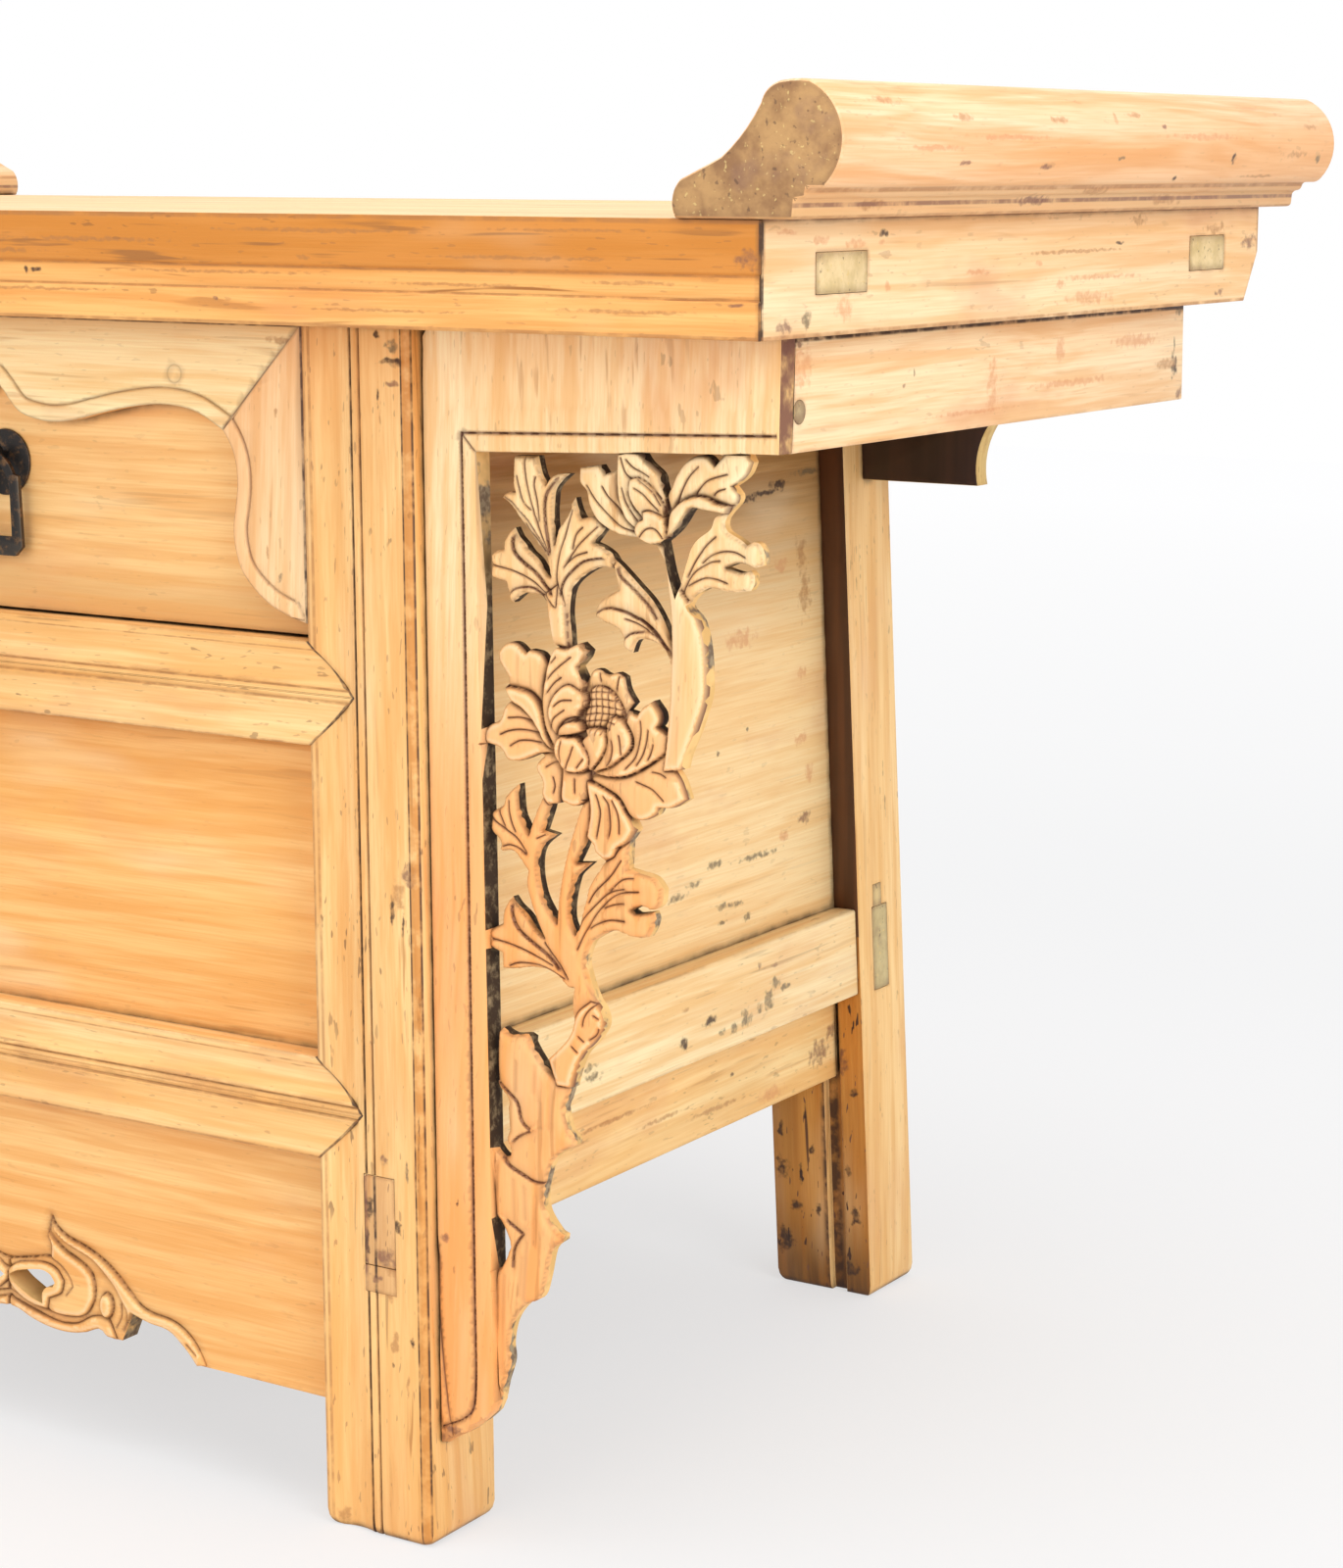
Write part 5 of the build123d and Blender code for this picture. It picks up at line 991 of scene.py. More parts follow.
# Petals and leaf lobes as layers: outline, how far its face lies below the board's, and the
# width of its rounded edge.
petals = [
    ([(381, 520), (375, 528), (374, 534), (379, 539), (386, 539.5), (393, 534.5), (395, 536.5), (403, 535),
      (408.5, 528), (406, 518), (405, 503), (403, 507), (397, 512), (390, 513), (380.5, 514)], 2.6, 5),
    ([(380.5, 514), (384, 514.5), (390, 513.8), (397, 512.3), (403, 507.5), (406, 501), (409.5, 490),
      (415.5, 480), (408, 485.6), (402.4, 493.8), (397.4, 499.4), (391.8, 503.8), (385, 507)], 1.0, 3),
    ([(385, 506.5), (381, 504.5), (379, 501), (376.5, 495), (370, 492), (366, 487), (366, 481), (377, 479),
      (382, 473), (386, 472), (392, 473), (404, 478), (409, 479), (415, 479.5), (408, 485.6),
      (402.4, 493.8), (397.4, 499.4), (391.8, 503.8)], 1.9, 5),
    ([(415, 480), (411, 488), (407, 495), (406, 503), (406.5, 512), (408, 522), (410, 531), (413, 538),
      (416, 540), (421, 539), (430, 543), (435.5, 539), (434, 535), (429, 529.5), (434, 521), (433, 516),
      (428, 500), (422, 488)], 1.1, 4),
    ([(417, 490), (413, 495), (411, 503), (413, 510), (416.8, 515), (421.8, 518.8), (426.1, 519.4),
      (431.1, 516.9), (435, 515), (437, 512), (436, 508), (432, 505), (431, 502), (427, 501), (422, 499),
      (418, 494)], 0.5, 3.5),
    ([(418, 490), (419, 494), (422, 497), (427, 499), (432, 499), (434, 496), (435, 494), (431, 492.5),
      (426, 491), (420, 490)], 0.3, 2.6),
    ([(434, 521), (438, 528), (442, 529), (448, 526.5), (454, 528), (459, 526), (461, 519), (466, 512),
      (462, 507.5), (458, 500), (440, 505), (434, 512)], 3.4, 3.5),
    ([(436, 515), (440, 519), (447, 519.5), (453, 516), (458, 510), (460, 505), (455, 497), (445, 492),
      (436, 494), (433, 500), (434, 505)], 2.0, 8),
    ([(433, 488), (437.7, 492.2), (436, 495), (441, 496.5), (449, 496), (450.5, 488), (447, 480), (440, 472),
      (437, 474)], 0.8, 3.2),
    ([(440, 471), (447, 480), (449.8, 488), (449.5, 496), (451.5, 502), (455, 504), (461, 501.5),
      (465, 497), (467, 493), (467, 488), (464, 484), (459, 480), (452, 475)], 0.9, 4),
    ([(440, 470.5), (452, 475), (459, 480), (464, 484), (467, 488), (467, 493), (465, 497), (462, 501),
      (465, 507), (470, 506), (473, 510), (479, 514.5), (484.5, 508), (485, 503), (483, 500),
      (490.5, 496), (491, 491), (490.5, 487), (487, 485), (480, 480), (472, 475), (463, 471),
      (452, 469.5)], 1.3, 5),
    ([(437, 466), (440, 470), (452, 469.5), (463, 471), (472, 475), (480, 480), (487, 485), (490.5, 487),
      (494, 478), (499, 471), (503, 461.5), (494, 456), (485, 455), (483, 451), (475, 447), (466, 448),
      (464, 450), (458, 458), (447, 463)], 1.9, 5),
    ([(437, 466), (447, 463), (458, 458), (464, 450), (466, 448), (470, 441), (464, 433), (459, 430),
      (457, 425), (451, 421.5), (444, 426), (443, 429.5), (438, 434), (440, 449), (437.8, 461)], 1.5, 5),
    ([(404, 478), (407, 477), (403, 473), (402.5, 469), (407, 462), (406.5, 455), (411, 449.5), (418, 451),
      (419.5, 456), (420.5, 469), (417, 478), (411, 480)], 2.0, 4),
    ([(417, 478), (420.5, 469), (420, 456), (421, 452.5), (430, 450.5), (437, 455), (437.8, 461),
      (438, 471), (428, 474)], 1.6, 4),
    ([(416, 482), (417, 487), (420, 489.5), (425, 489.6), (430, 490), (433, 488), (437, 484), (439.5, 478),
      (438, 473), (433, 470.5), (427, 470), (423, 471), (418, 476)], 0.0, 6),
    # the bud: two outer sepals, the heart with its lobe, and the calyx
    ([(427.5, 633), (427.5, 641), (440, 643), (444, 638), (452, 641), (453, 646), (453.5, 632), (456, 622),
      (462, 613), (468, 607), (472, 604), (462, 604.5), (453, 605.5), (445, 609), (439, 613), (434, 621),
      (432, 628)], 2.2, 5),
    ([(453, 652), (466, 652), (472, 646), (480, 640), (482, 634), (484.8, 627), (486, 614), (470, 606),
      (460, 614), (455.5, 622), (453.5, 632)], 1.2, 4),
    ([(462.2, 636.5), (467.5, 637.5), (474.4, 634.4), (478.8, 630.6), (484, 624), (485.5, 614), (473, 614),
      (466, 621), (462, 628)], 0.4, 3),
    ([(468, 605), (466.5, 609), (468.5, 613.5), (472, 615), (471.5, 619), (475, 620), (480, 619),
      (486, 616.5), (487, 611), (486, 603), (478, 601.5), (472, 602.5)], 0.2, 3),
    # the bud's right leaf and its turned-over rim
    ([(484.8, 627), (488, 633), (493, 643), (501, 650), (509, 651.5), (513, 649), (515.5, 646), (519, 650),
      (525, 655), (535, 655), (538.5, 649), (536, 643), (532, 639), (526.5, 635.5), (530.5, 631),
      (530, 627), (524, 624.7), (512.5, 627.5), (499.4, 626.9), (488, 617.5)], 2.0, 5),
    ([(485, 605), (488.1, 617.5), (493.1, 624), (499.4, 627.5), (507.5, 629.4), (512.5, 628.2),
      (518.8, 625.8), (526, 625), (524, 620.5), (510, 622), (505, 623), (501, 622), (494, 612),
      (489, 607)], 0.6, 3.5)]


def eased(outline, cut):
    """The outline with each sharp corner cut off, a little in from its point."""
    points = np.array(outline, float)
    made = []
    for before, here, after in zip(np.roll(points, 1, 0), points, np.roll(points, -1, 0)):
        into, out = here - before, after - here
        lengths = np.hypot(*into), np.hypot(*out)
        if into @ out < 0.55 * lengths[0] * lengths[1]:
            made += [here - into * min(0.4, cut / lengths[0]), here + out * min(0.4, cut / lengths[1])]
        else:
            made.append(here)
    return made


stems = [
    ([(404, 568), (408, 560), (411.5, 540), (422, 540), (419.5, 562), (414, 575)], 1.6, 5),
    ([(484, 603), (489.5, 572), (491.3, 556), (491.5, 524), (490.5, 500), (488, 476), (500, 478),
      (508, 500), (513, 515), (514.5, 525), (512.5, 547), (508, 561), (500, 572), (494, 580), (488, 594),
      (487, 605)], 0.9, 11),
    ([(429, 318), (415, 303), (417, 298), (421, 288), (431, 288), (433, 296), (438, 308), (447, 318),
      (452, 328), (449, 337), (443, 340), (434, 332)], 1.4, 6)]

vein_lines = groove_lines([
    [(390.5, 645.3), (391.1, 639.4), (392.4, 631.9), (394.3, 625), (398, 613.8), (403, 603), (408.3, 591.3)],
    [(385.5, 634.4), (388.6, 624.4), (391.1, 619.4), (395.2, 615.9)],
    [(398.3, 634.4), (397.7, 630), (400.2, 620), (401.4, 610)],
    [(391.8, 607.8), (394.9, 603.8), (399.9, 599.4), (404.9, 593.1)],
    [(423.3, 616.9), (419.9, 603.8), (415.8, 592.5), (413.9, 578.8), (413.8, 562)],
    [(431.1, 608.1), (426.8, 603.8), (424.3, 595.6)],
    [(439.9, 608.4), (429.9, 599.4), (424.9, 593.8), (418.6, 584.4)],
    [(434.3, 594.4), (426.8, 591.9), (421.1, 588.1)],
    [(369.3, 583.4), (385.5, 580.6), (399.3, 575), (408.6, 565.6), (412.4, 561.9)],
    [(442.8, 631.3), (446.9, 625.9), (452.5, 621.3), (456.3, 616.9)],
    [(432.4, 631.3), (437.4, 625), (443.8, 618.8), (455.6, 610), (465, 607.5)],
    [(459.4, 646.9), (463.8, 643.1), (469.4, 640.6), (474.4, 638.1)],
    [(467.5, 636.5), (474.4, 632.4), (478.8, 628.6), (482.8, 623)],
    [(465.6, 631.8), (471.3, 629), (475.6, 625.3), (481.3, 620)],
    [(456.6, 631.3), (458.8, 625), (461.9, 620), (466.9, 613.8)],
    [(460.6, 629.4), (463.8, 621.9), (469.4, 616.9)],
    [(455.5, 648), (458.8, 640), (462.2, 636.6)],
    [(470, 605), (474, 609.5), (479, 610.5), (483, 608), (485, 605)],
    [(505.6, 645.3), (500.6, 640.6), (496.9, 635), (491.9, 623.8)],
    [(523.8, 641.9), (515, 639.4), (510, 636.9), (503.8, 630)],
    [(523.1, 634.1), (518.1, 632.5), (515.6, 630)],
    [(517.5, 607.8), (511.9, 603.1), (507.5, 597.5), (503.8, 591.9), (500, 585)],
    [(536.3, 597.5), (530, 600), (522.5, 600), (515, 597.5), (509.4, 593.1)],
    [(520.6, 594.7), (513.8, 593.4), (503.1, 586.3), (496.6, 575)],
    [(525.6, 582.8), (518.1, 584.7), (510.6, 584.7), (500.6, 580)],
    [(460, 558.8), (467.5, 556.9), (475, 553.1), (480.6, 550)],
    [(470, 559), (475, 556), (480.6, 551.9), (490, 540.6)],
    [(425.5, 535), (418, 529.4), (413, 525), (409.9, 521.3)],
    [(419.3, 523.1), (414.3, 519.4), (409.5, 513.5)], [(415.8, 535), (411.8, 530.6)],
    [(427.4, 510.9), (419.9, 510), (414.9, 506.3)], [(422.4, 505), (415.5, 500), (413, 495)],
    [(382.4, 496.9), (391.8, 497.8), (399.3, 496.3)], [(377.4, 486.9), (383, 489.4), (390.5, 490.9),
                                                      (398, 490.9), (404.3, 490)],
    [(384.3, 480.9), (390.5, 484.4), (398, 485.3), (405.5, 484.7)], [(409, 471), (414, 474), (418, 475)],
    [(420.8, 486.9), (419.8, 481), (420.5, 475.6)], [(429.3, 485), (426.8, 478.1), (424.3, 472.5)],
    [(436.1, 478.4), (431.8, 473.1)], [(442.5, 527), (443.5, 522)], [(455.5, 526), (454, 518)],
    [(458.8, 493.8), (460, 488.1), (460.3, 483.1)], [(453.8, 490), (454.7, 485.6), (453.4, 479.4),
                                                     (450, 475.4)],
    [(472.5, 503.1), (473.1, 496.9), (471.9, 489.4), (469.4, 481.9), (463, 475)],
    [(477.8, 498.1), (476.9, 491.3), (474.4, 483.8), (470.6, 478.1)],
    [(481.3, 490.6), (480, 485.6), (477.5, 481.3)], [(480, 474.9), (485, 474.4), (489.4, 472.5)],
    [(470, 468.4), (475, 467.1), (480.6, 465.3), (485, 462.1), (488.1, 459.5)],
    [(414, 466), (415.4, 461), (414.3, 456.5)], [(429, 466), (429.5, 458)],
    [(443.8, 458.8), (445.9, 453.8), (447.2, 448.1), (445, 434.4)],
    [(448.8, 458.1), (452.5, 453.1), (454.1, 441.9), (453.1, 435.6)],
    [(454.4, 456.3), (458.1, 450.6), (459.7, 445), (460, 438.1)],
    [(461.3, 423.1), (455, 413.8), (445, 403.8), (440.6, 396.9)],
    [(463.8, 406.9), (455, 404.4), (448.1, 398.8), (436.9, 386.9), (433.1, 380)],
    [(473.8, 406.6), (460, 403.8), (448.8, 394.4), (439.4, 380.6), (433.4, 368.8)],
    [(470, 413.8), (462.5, 412.2), (454.4, 405)], [(463.8, 398.8), (457.5, 397.5), (450.6, 394.7)],
    [(465, 388.8), (455, 388.4), (446.9, 385.3), (441.9, 382.2)],
    [(384.3, 449.4), (384.9, 443.1), (386.8, 436.9), (389.3, 431.9)],
    [(377.4, 443.1), (379.9, 438.8), (381.8, 434.4)],
    [(373, 438.1), (379.3, 434.4), (386.8, 430.6), (392.4, 426.9), (397.4, 420)],
    [(380.5, 422.5), (385.5, 424.1), (391.8, 422.8), (396.8, 419.4)],
    [(374.9, 368.1), (385.5, 366.9), (398, 364.1), (408.6, 360.6), (416.8, 357.5)],
    [(386.8, 353.8), (393, 356.3), (401.8, 356.9), (410.5, 355.9), (424.9, 350.6)],
    [(410.5, 370), (415.5, 364.4), (421.8, 357.5), (427.4, 350.6)],
    [(446.8, 338.8), (441.8, 334.4), (438.9, 329.4), (438.3, 325.6)], [(445.5, 332.2), (448.6, 330.6)],
    [(448.9, 325), (447.4, 321.3), (443, 317.8)], [(435.5, 318.8), (439.3, 316.3)],
    [(431.1, 312.5), (434.9, 309.4)], [(404.3, 429.7), (409.9, 432.5)], [(430.5, 417.5), (438, 418.5)],
])
board_lines = groove_lines([[(343.8, 175), (344.4, 150), (346, 130), (350, 100), (354, 78), (356, 68)],
                            [(350.3, 657.5), (360, 647.4)]])
fold_lines = [(rounded(points, False), drop, reach) for points, drop, reach in (
    ([(378, 622.2), (383, 619.7), (388, 615.3), (394.3, 610), (403, 598.8), (407.4, 591.3)], 1.2, 4),
    ([(408.6, 592.5), (407.4, 600), (406.1, 606.9), (405.2, 615), (405.2, 621.3), (407.1, 627.5),
      (413, 634.7)], 1.6, 4),
    ([(415.8, 569.4), (416.8, 573.1), (420.5, 579.4), (425.5, 584.4), (431.1, 588.8), (438, 590.9),
      (445.5, 591.9)], 1.5, 5),
    ([(409.9, 568.8), (403, 577.5), (398, 581.9), (391.8, 585.6), (386.8, 589.4), (383.9, 593.8),
      (383.6, 600)], 2.0, 5),
    ([(406.1, 564.4), (401.8, 570), (396.8, 572.2), (386.8, 570.6), (381.8, 566.9)], 1.4, 4),
    ([(480, 560), (475.6, 566.3), (466.3, 574.4), (456.3, 581.9), (453.8, 586.3)], 1.6, 4),
    ([(487, 543), (478, 553), (467, 560), (455, 563.5), (447, 563.5), (440, 560)], 1.8, 4),
    ([(472.5, 552.2), (465, 550.9), (460.6, 548.1), (457.8, 544.4)], 1.4, 4),
    ([(421.1, 355.6), (413, 363.1), (398, 371.9), (391.8, 376.9), (388.6, 383.1), (387.4, 389.4)], 1.8, 5),
    ([(391.1, 250.6), (396.8, 255.6), (403.6, 258.8), (397.4, 263.8), (394.3, 273.8), (387.4, 279.4),
      (380.5, 284.4)], 1.6, 9),
    ([(413.8, 228.8), (406.3, 229.4), (399.4, 231.9), (390, 235.6), (383.8, 240)], 1.8, 12),
    ([(393.4, 176.3), (393.8, 186.3), (396.3, 191.9), (400, 197), (388.8, 203)], 1.5, 9))]
flutes = groove_lines([[(402, 192), (401, 157)], [(392.5, 228), (393, 204)], [(408, 220), (407, 192)],
                       [(393, 298), (392.5, 281)], [(406, 297), (405.5, 282)], [(418, 286), (417, 262)],
                       [(410, 276), (411, 262)], [(381.5, 240), (380.5, 206)], [(383, 171), (382.5, 135)],
                       [(399, 182), (397.5, 160)], [(387, 170), (387, 110)], [(400, 225), (401, 206)]], 3.0)
pod_outline = np.array(petals[7][0], float)
hatch = [rounded([(431 + 4 * k, 492), (435 + 4 * k, 506), (433 + 4 * k, 521)], False) for k in range(7)]
hatch += [rounded([(430, 494 + 4 * k), (446, 497 + 4 * k), (462, 495 + 4 * k)], False) for k in range(7)]

layers = [(rounded(o), level, edge) for o, level, edge in petals + stems]
layer_lines = [np.vstack([o, o[:1]]) for o, level, edge in layers]
silhouettes = [(rounded(upper_spray), 1.7, 5), (rounded(bud_branch), 2.3, 5), (rounded(flower), 3.4, 4),
               (rounded(lower_branch), 1.6, 5), (rounded(eased(rock, 3.5), corner=118), 1.6, 6)]
bead_inner_line, bead_outer_line = rounded(bead_inner, False), rounded(bead_outer, False)
surround_line = np.array(surround, float)
edge_drop, petal_drop, deeper = 2.2, 1.7, 1.7
ground, deepest = 9.0, 10


def spandrel_height(points):
    """How far below the board's face each point of the carving lies, and how dark it is."""
    sunk, old_shade_and_highlight = np.full(len(points), ground), np.zeros(len(points))
    for outline, level, edge in silhouettes:
        held = inside(points, outline)
        distance = nearest(points, outline, True)[0]
        layer = deeper * (level + edge_drop * (1 - dome(distance, edge)))
        sunk = np.where(held, np.minimum(sunk, layer), sunk)
        old_shade_and_highlight = np.where(held, 0.5 * bell(distance, 1.0), old_shade_and_highlight)
    sunk, old_shade_and_highlight = carve(points, sunk, old_shade_and_highlight, layers, petal_drop, deeper)
    for line, drop, reach in fold_lines:
        sunk = sunk + fold(points, line, drop, reach)
    sunk, old_shade_and_highlight = score(points, sunk, old_shade_and_highlight, vein_lines, wide=0.6, deep=0.9, dark=0.9, reach=1.2, slump=1.1)
    for line, drop, reach in fold_lines:
        old_shade_and_highlight = fold_shade(points, old_shade_and_highlight, line)
    sunk, old_shade_and_highlight = score(points, sunk, old_shade_and_highlight, flutes, wide=1.6, deep=0.8, dark=0.18, reach=2)
    sunk, old_shade_and_highlight = score(points, sunk, old_shade_and_highlight, hatch, wide=0.6, deep=0.9, dark=0.8, reach=1.2,
                      within=inside(points, pod_outline))
    board = inside(points, surround_line) | (points[:, 0] > surround_line[:, 0].max() - 0.1)
    inner = nearest(points, bead_inner_line, False, 14.0)[0]
    outer, side = nearest(points, bead_outer_line, False, 14.0)
    on_bead = side > 0
    bead = 0.4 + 1.1 * (1 - dome(np.minimum(inner, outer + 0.6), 3.5))
    crack = deepest_cut(points, board_lines, 0.7)
    flat = np.where(on_bead, bead, 0.0) + 1.5 * bell(outer, 0.8) + 0.8 * crack
    sunk = np.where(board, np.minimum(flat, np.where(inner < 4, sunk, 99)), sunk)
    dark = np.maximum(bell(outer, 0.85), 0.9 * crack)
    dark = np.maximum(dark, 0.5 * (points[:, 1] < 70) * on_bead)
    old_shade_and_highlight = np.where(board, dark, old_shade_and_highlight)
    return np.clip(sunk, 0, deepest), np.clip(old_shade_and_highlight, -1, 1)


def cut_finish(name, seed):
    """The sawn edges: old olive-black finish inside the openings, worn to bare wood outside."""
    made, tree = blank_material(name)
    own = put(tree, "ShaderNodeTexCoord").outputs["Object"]
    place = shifted(tree, own, (seed, 0, 0))
    bare = put(tree, "ShaderNodeAttribute", {"attribute_name": "worn"}).outputs["Fac"]
    dark = blend_colour(tree, ramp(tree, noise(tree, place, 110, 4.0, 0.7), 0.45, 0.72),
                        (0.050, 0.027, 0.013, 1), (0.30, 0.21, 0.11, 1))
    wood = blend_colour(tree, ramp(tree, noise(tree, place, 45, 3.0, 0.6), 0.40, 0.60),
                        (0.88, 0.55, 0.22, 1), (0.72, 0.44, 0.16, 1))
    grey = blend_colour(tree, ramp(tree, noise(tree, place, 260, 2.0), 0.4, 0.6), (0.13, 0.095, 0.075, 1),
                        (0.30, 0.24, 0.16, 1))
    wood = stained(tree, wood, ramp(tree, noise(tree, place, 34, 4.0, 0.6), 0.53, 0.60), 0.9, grey)
    colour = blend_colour(tree, bare, dark, wood)
    colour = marked(tree, own, colour, [], "Z", [((1, 0), 559, 1.5, "purple")] * 2)
    return coated(made, tree, colour, Roughness=0.75, Specular_IOR_Level=0.2)


def fine_carving(points):
    """Where the mesh is fine: everywhere but on the flat of the surround."""
    return ~inside(points, surround_line) | (nearest(points, bead_inner_line, False, 20.0)[0] < 13)


# Painted light: the board's upper part is painted paler, against the shade under the top's overhang, and it
# turns a darker orange from 650 mm down to 380 mm.
spandrel_paint = pine("spandrel_pine", "Z", (0.99, 0.80, 0.48, 1), (0.97, 0.66, 0.33, 1), 23, 0.4, 0.3,
                      grime_and_shade=0.8, carved=True, streaks=0.4, fade=(650, 380, (0.89, 0.385, 0.115, 1), 1.0),
                      marks=[(349, 187, 4, 4, "purple"), (357, 210, 1.5, 3, "dark"),
                             (355, 169, 1.5, 3, "brown"), (346, 66, 6, 4, "purple"),
                             (358, 72, 8, 3, "purple")])
spandrel_cut = cut_finish("spandrel_cut_edge", 1)
spandrel_back = pine("spandrel_back_pine", "Z", (0.40, 0.26, 0.13, 1), (0.28, 0.17, 0.08, 1), 24, 0.3, 0.6)
outlines_mm = [surround_line] + [outline for outline, level, edge in silhouettes]
board_mesh, flat, rim_points, wall = relief_board(
    "carved_spandrel", outlines_mm, [rounded(bud_gap)], spandrel_height,
    vein_lines + layer_lines + [line for line, drop, reach in fold_lines] + board_lines
    + [bead_outer_line] + hatch, 1.2, spandrel_thick, front_face(spandrel_recess), fine_carving)

# A sawn edge is worn to bare wood where nothing of the board stands to its right within reach.
# It wears little by little, as the share of open edge within worn_about mm grows.
worn_about, worn_gain, worn_start = 7, 2.4, 0.7
rim = np.array([flat[v] for v in rim_points])
open_side = np.ones(len(rim), bool)
for reach in range(5, 60, 4):
    for outline in outlines_mm:
        open_side &= ~inside(rim + (reach, 0), outline)
worn_mark = board_mesh.attributes.new("worn", "FLOAT", "POINT")
worn_values = np.zeros(len(board_mesh.vertices), np.float32)
for v, here in zip(rim_points, rim):
    share = open_side[np.hypot(*(rim - here).T) < worn_about].mean()
    worn_values[wall[v]] = worn_values[wall[v] + 1] = min(1.0, max(0.0, worn_gain * share - worn_start))
worn_mark.data.foreach_set("value", worn_values)
for paint in (spandrel_paint, spandrel_back, spandrel_cut):
    board_mesh.materials.append(paint)


def mirrored(mesh, name):
    """The same board for the other side of the table."""
    other = mesh.copy()
    other.name = name
    other.transform(Matrix.Scale(-1, 4, (1, 0, 0)))
    other.flip_normals()
    return other


for side in ("right", "left"):
    mesh = board_mesh if side == "right" else mirrored(board_mesh, "carved_spandrel_left")
    stand_in("carved_spandrel_" + side, mesh, 50, "frame", "spandrel_" + side)

# ---------------------------------------------------------------- apron
# The board below the lower rail: an ogee edge with a carved ridge, and scrolls round two
# pierced teardrops whose tips meet at the middle.
apron_recess, apron_thick = 10.0, 18.0
apron_half = [(0, 81.5), (9, 80.5), (20, 76.5), (34, 73.4), (49, 72.5), (63, 74.5), (77, 79.7), (86, 75.2),
              (96, 75.7), (104, 95.2), (119, 91.5), (135.5, 89.2), (144, 85), (149.5, 79.5), (158, 71)]
apron_side = [(267, 71), (261.9, 230)]
teardrop = [(1.5, 102.5), (8, 106.5), (17, 109), (25, 110.6), (32, 111.2), (38.5, 109), (42, 104.5),
            (40, 101), (35, 100.3), (31.5, 96), (31.5, 89), (23, 91), (15, 94.5), (7, 98.5)]
scroll = [(36.5, 146.4), (34.5, 136.4), (40, 131), (46.5, 126.4), (56, 122.6), (63.5, 119.4), (70, 114.5),
          (72.5, 108.4), (73, 100), (70.5, 93.4), (66, 87.4), (58.5, 84.4), (41.5, 83.4), (20, 87.5),
          (0, 92.4), (0, 112.4), (18, 116), (30, 119), (36.5, 119.9), (37, 128), (34, 134)]
lip = [(0, 99.5), (0, 106), (8, 111.5), (18, 114), (32, 115.6), (42, 113), (48, 106), (46, 98.5), (40, 95),
       (35.5, 93), (34, 85.5), (22, 86.5), (10, 91)]
ridge = [(36.5, 146.4), (40, 138), (48, 132), (60, 128), (72, 124), (82, 117), (90, 110), (96, 102),
         (101, 94), (97, 82), (104, 95.2), (119, 91.5), (135.5, 89.2), (149.5, 79.5), (158, 71), (165, 72.5),
         (157, 85), (147, 93), (136, 97), (122, 98.5), (112, 101.5), (102, 109), (91, 118), (80, 125),
         (66, 131), (50, 135.5), (41, 141)]
drop_bead = [(83.5 + 5.2 * math.cos(a), 96.4 + 8.0 * math.sin(a)) for a in np.linspace(0, 5.76, 12)]
foot_scroll = [(0, 81.5), (9, 80.5), (20, 76.5), (34, 73.4), (49, 72.5), (63, 74.5), (77, 79.7), (84, 76),
               (92, 76), (86, 86), (80, 88.5), (70, 86.5), (58, 80), (42, 78.5), (20, 83), (0, 88)]


def other_half(points):
    return [(-x, z) for x, z in points]


apron_outline = ([(x, z) for x, z in reversed(other_half(apron_half))][:-1] + apron_half)
apron_line = np.vstack([rounded(apron_outline, False), np.array(apron_side),
                        np.array(other_half(apron_side[::-1]))])
apron_layers = [(rounded(o), level, edge) for shape, level, edge in (
    (scroll, 0.9, 4), (lip, 0.3, 2.6), (ridge, 0.6, 3), (drop_bead, 0.2, 4), (foot_scroll, 1.0, 3))
    for o in (shape, other_half(shape))]
apron_veins = groove_lines([[(50.5, 97.4), (56, 104), (53.5, 109.4), (46, 116), (36.5, 119.9)],
                            [(92, 84), (96, 92), (95, 100)], [(150, 84), (158, 78)]])
apron_veins += [line * (-1, 1) for line in apron_veins]
apron_lines = [np.vstack([o, o[:1]]) for o, level, edge in apron_layers]


def apron_height(points):
    """How far below the board's face each point of the apron lies, and how dark it is."""
    edge = nearest(points, apron_line, True, 6.0)[0]
    sunk = np.full(len(points), 1.8) + np.where(points[:, 1] < 150, 1.6 * (1 - dome(edge, 2.5)), 0)
    sunk = sunk + 1.8 * bell(points[:, 1] - 118, 26) * bell(np.abs(points[:, 0]), 115, 6)
    sunk, old_shade_and_highlight = carve(points, sunk, np.zeros(len(points)), apron_layers, 2.0, 1.5)
    groove = deepest_cut(points, apron_veins, 0.8)
    border = points[:, 1] < 82
    old_shade_and_highlight = np.where(border & (np.abs(points[:, 0]) > 160), 0, old_shade_and_highlight)
    old_shade_and_highlight = np.where(groove > 0.1, np.maximum(old_shade_and_highlight, groove * 0.7), old_shade_and_highlight)
    return np.clip(sunk + groove, 0, 7), np.clip(old_shade_and_highlight, -0.5, 0.7)


apron_paint = pine("apron_pine", "X", (0.94, 0.57, 0.225, 1), (0.89, 0.47, 0.16, 1), 25, 0.3, 0.15,
                   grime_and_shade=0.6, carved=True, streaks=0.3, seams=[(along_post, 269.4, 1.2, "brown")])
apron_mesh = relief_board("carved_apron", [apron_line], [rounded(teardrop), rounded(other_half(teardrop))],
                          apron_height, apron_veins + apron_lines, 1.6, apron_thick,
                          front_face(apron_recess),
                          lambda p: (np.abs(p[:, 0]) < 172) & (p[:, 1] < 152))[0]
for paint in (apron_paint, spandrel_back, spandrel_cut):
    apron_mesh.materials.append(paint)
apron_worn = apron_mesh.attributes.new("worn", "FLOAT", "POINT")
apron_worn.data.foreach_set("value", np.full(len(apron_mesh.vertices), 0.8, np.float32))
stand_in("carved_apron", apron_mesh, 50, "frame", "apron_front")

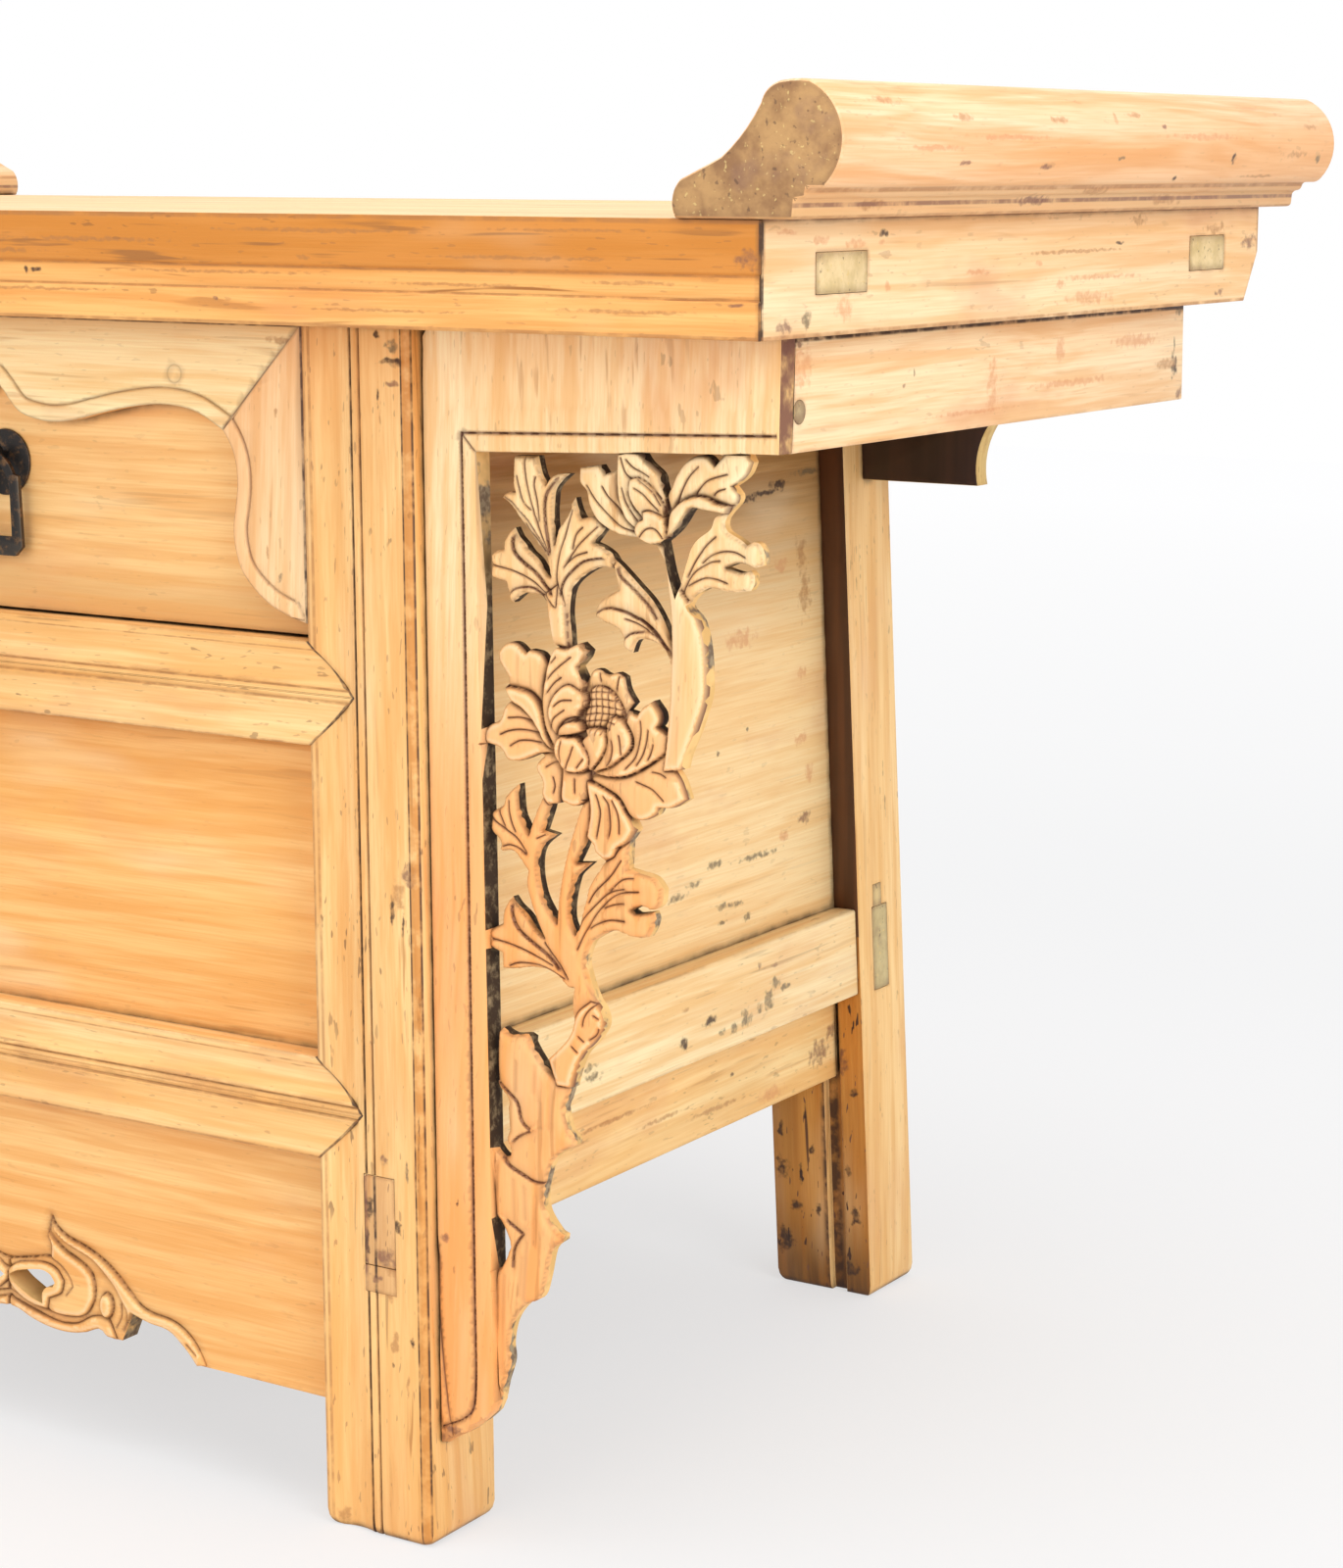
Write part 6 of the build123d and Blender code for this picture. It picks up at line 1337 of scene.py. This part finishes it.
# ---------------------------------------------------------------- drawer
# The drawer's front is one board with three applied pieces that frame it as a cusped arch with
# a raised bead, mitred at the upper corners. The box behind it is old unstripped pine.
arch_recess, arch_thick = 2.0, 12.0
arch_half = [(0, 676), (7.5, 669), (17, 659), (26, 654.5), (45, 651.5), (63, 653), (81, 657), (99, 661),
             (117, 664), (134, 665.5), (150, 664.5), (163, 661.6), (172, 657.4), (182, 652)]
arch_leg = [(182, 652), (188, 643.5), (192, 633), (193.3, 620), (192, 607), (190.6, 597), (191.6, 585),
            (196, 572), (203, 563), (212, 555.5), (222, 549.5), (234, 545)]
drawer_high, arch_heel = 716.0, 542.0
arch_side_high, arch_side_low = 240.36, 247.3
arch_top_line = np.vstack([rounded(other_half(arch_half)[::-1], False, 4.0)[:-1],
                           rounded(arch_half, False, 4.0), [(arch_side_high, drawer_high)],
                           [(-arch_side_high, drawer_high)]])
arch_leg_line = np.vstack([rounded(arch_leg, False, 4.0), [(arch_side_low, arch_heel)],
                           [(arch_side_high, drawer_high)]])
bead_wide = 9.5
arch_bead = np.vstack([rounded(other_half(arch_half)[::-1], False, 4.0)[:-1],
                       rounded(arch_half, False, 4.0), rounded(arch_leg, False, 4.0)[1:]])
arch_bead = np.vstack([rounded(other_half(arch_leg)[::-1], False, 4.0)[:-1], arch_bead])
arch_lines = [beside(arch_bead, offset) for offset in (2.2, bead_wide - 0.8, bead_wide + 0.6)]
plug = np.array([(145 + 5.4 * math.cos(a), 684 + 5.4 * math.sin(a)) for a in np.linspace(0, 6.283, 25)])
arch_joint = groove_lines([[(182.6, 653), (205, 678), (240, 715.6)]])


def arch_height(points):
    """The raised bead along the arch, with a groove on either side of it, a painted shadow along
    the arch's inner edge and a dark line in the outer groove.
    """
    distance = nearest(points, arch_bead, False, 16.0)[0]
    middle = np.abs(distance - bead_wide / 2) / (bead_wide / 2)
    bead = 0.2 + 1.5 * (1 - np.sqrt(np.clip(1 - middle ** 2, 0, 1)))
    field = 0.9 + 1.3 * bell(distance - bead_wide - 0.8, 1.1)
    sunk = np.where(distance < bead_wide, bead, field)
    # Painted shadow along the arch's inner edge, and a dark line in the groove beyond the bead.
    old_shade_and_highlight = np.maximum(0.55 * bell(distance - bead_wide - 0.5, 0.75), 0.5 * bell(distance, 0.8))
    for line, strength in [(plug, 0.45)] + [(line, 0.9) for line in arch_joint]:
        cut = bell(nearest(points, line, False, 5.0)[0], 0.7)
        sunk, old_shade_and_highlight = sunk + 0.5 * strength * cut, np.maximum(old_shade_and_highlight, strength * cut)
    return sunk, old_shade_and_highlight


# Painted shadow: a dark line down the board's side edge, in the gap beside the post.
drawer_board_paint = pine("drawer_board_pine", "X", (0.95, 0.61, 0.26, 1), (0.89, 0.51, 0.195, 1), 26, 0.25,
                          0.15, grime_and_shade=0.8, streaks=0.3, seams=[(along_post, 269, 1.2, "dark")],
                          fade=(578, 545, (0.60, 0.33, 0.11, 1), 0.55))
# Painted shadow under the top: a dark line along the arch's top edge, and the arch painted darker towards
# that edge from 698 mm up.
arch_top_paint = pine("arch_top_pine", "X", (0.99, 0.84, 0.48, 1), (0.97, 0.71, 0.36, 1), 27, 0.4, 0.2,
                      grime_and_shade=0.8, carved=True, streaks=0.25, seams=[((0, 1), 715.4, 1.6, "dark")],
                      fade=(698, 716, (0.72, 0.40, 0.15, 1), 0.6), marks=[(226, 706, 12, 3, "brown")])
# Painted shadow: a dark line down the arch's outer edge, in the gap beside the post.
arch_side_paint = pine("arch_side_pine", "Z", (0.96, 0.67, 0.37, 1), (0.91, 0.56, 0.28, 1), 28, 0.5, 0.25,
                       grime_and_shade=0.8, carved=True, streaks=0.3, seams=[(along_post, 268.6, 1.3, "dark")], marks=[
                           (227, 568, 3, 4, "grey"), (217, 582, 1.4, 5, "brown"), (222, 664, 2, 3, "brown")])
arch_cut = pine("arch_edge_pine", "X", (0.85, 0.48, 0.17, 1), (0.74, 0.37, 0.11, 1), 29, 0.3, 0.5)


def near_bead(points):
    return nearest(points, arch_bead, False, 16.0)[0] < 13


arch_top_mesh = relief_board("arch_top", [arch_top_line], [], arch_height,
                             arch_lines + arch_joint + [plug], 1.9, arch_thick,
                             front_face(arch_recess), near_bead)[0]
arch_leg_mesh = relief_board("arch_leg", [arch_leg_line], [], arch_height, arch_lines, 1.9, arch_thick,
                             front_face(arch_recess), near_bead)[0]
for mesh, face_paint in ((arch_top_mesh, arch_top_paint), (arch_leg_mesh, arch_side_paint)):
    for paint in (face_paint, arch_cut, arch_cut):
        mesh.materials.append(paint)
for name, mesh, node in (("arch_top", arch_top_mesh, "drawer_arch_top"),
                         ("arch_right", arch_leg_mesh, "drawer_arch_right"),
                         ("arch_left", mirrored(arch_leg_mesh, "arch_leg_left"), "drawer_arch_left")):
    stand_in(name, mesh, 45, "drawer", node)
dress("drawer_front", "drawer", 0.0012, [drawer_board_paint])
for node in ("drawer_side_right", "drawer_side_left", "drawer_back", "drawer_bottom"):
    dress(node, "drawer", 0.0010, [inside_paint])


# ---------------------------------------------------------------- pull
# A forged iron pull: a round back plate, a ring staple through it, and a flat slotted bail that
# hangs plumb. The iron is nearly black, with brown rust and bare metal rubbed on the edges.
def forged_iron(name):
    made, tree = blank_material(name)
    place = put(tree, "ShaderNodeTexCoord").outputs["Object"]
    rust = ramp(tree, noise(tree, place, 160, 4.0, 0.65), 0.48, 0.70)
    colour = blend_colour(tree, rust, (0.030, 0.026, 0.024, 1), (0.16, 0.085, 0.04, 1))
    worn = put(tree, "ShaderNodeNewGeometry").outputs["Pointiness"]
    colour = blend_colour(tree, ramp(tree, worn, 0.52, 0.60), colour, (0.30, 0.24, 0.17, 1))
    relief = put(tree, "ShaderNodeBump", Height=noise(tree, place, 420, 4.0, 0.6), Strength=0.5,
                 Distance=0.0006)
    return coated(made, tree, colour, Normal=relief, Metallic=0.75, Roughness=0.5)


iron = forged_iron("forged_iron")
for node, body, wear in (("pull_plate", "drawer", 0.0005), ("pull_staple", "drawer", 0.0005),
                         ("pull_bail", "bail", 0.0008)):
    dress(node, body, wear, [iron], steps=3)
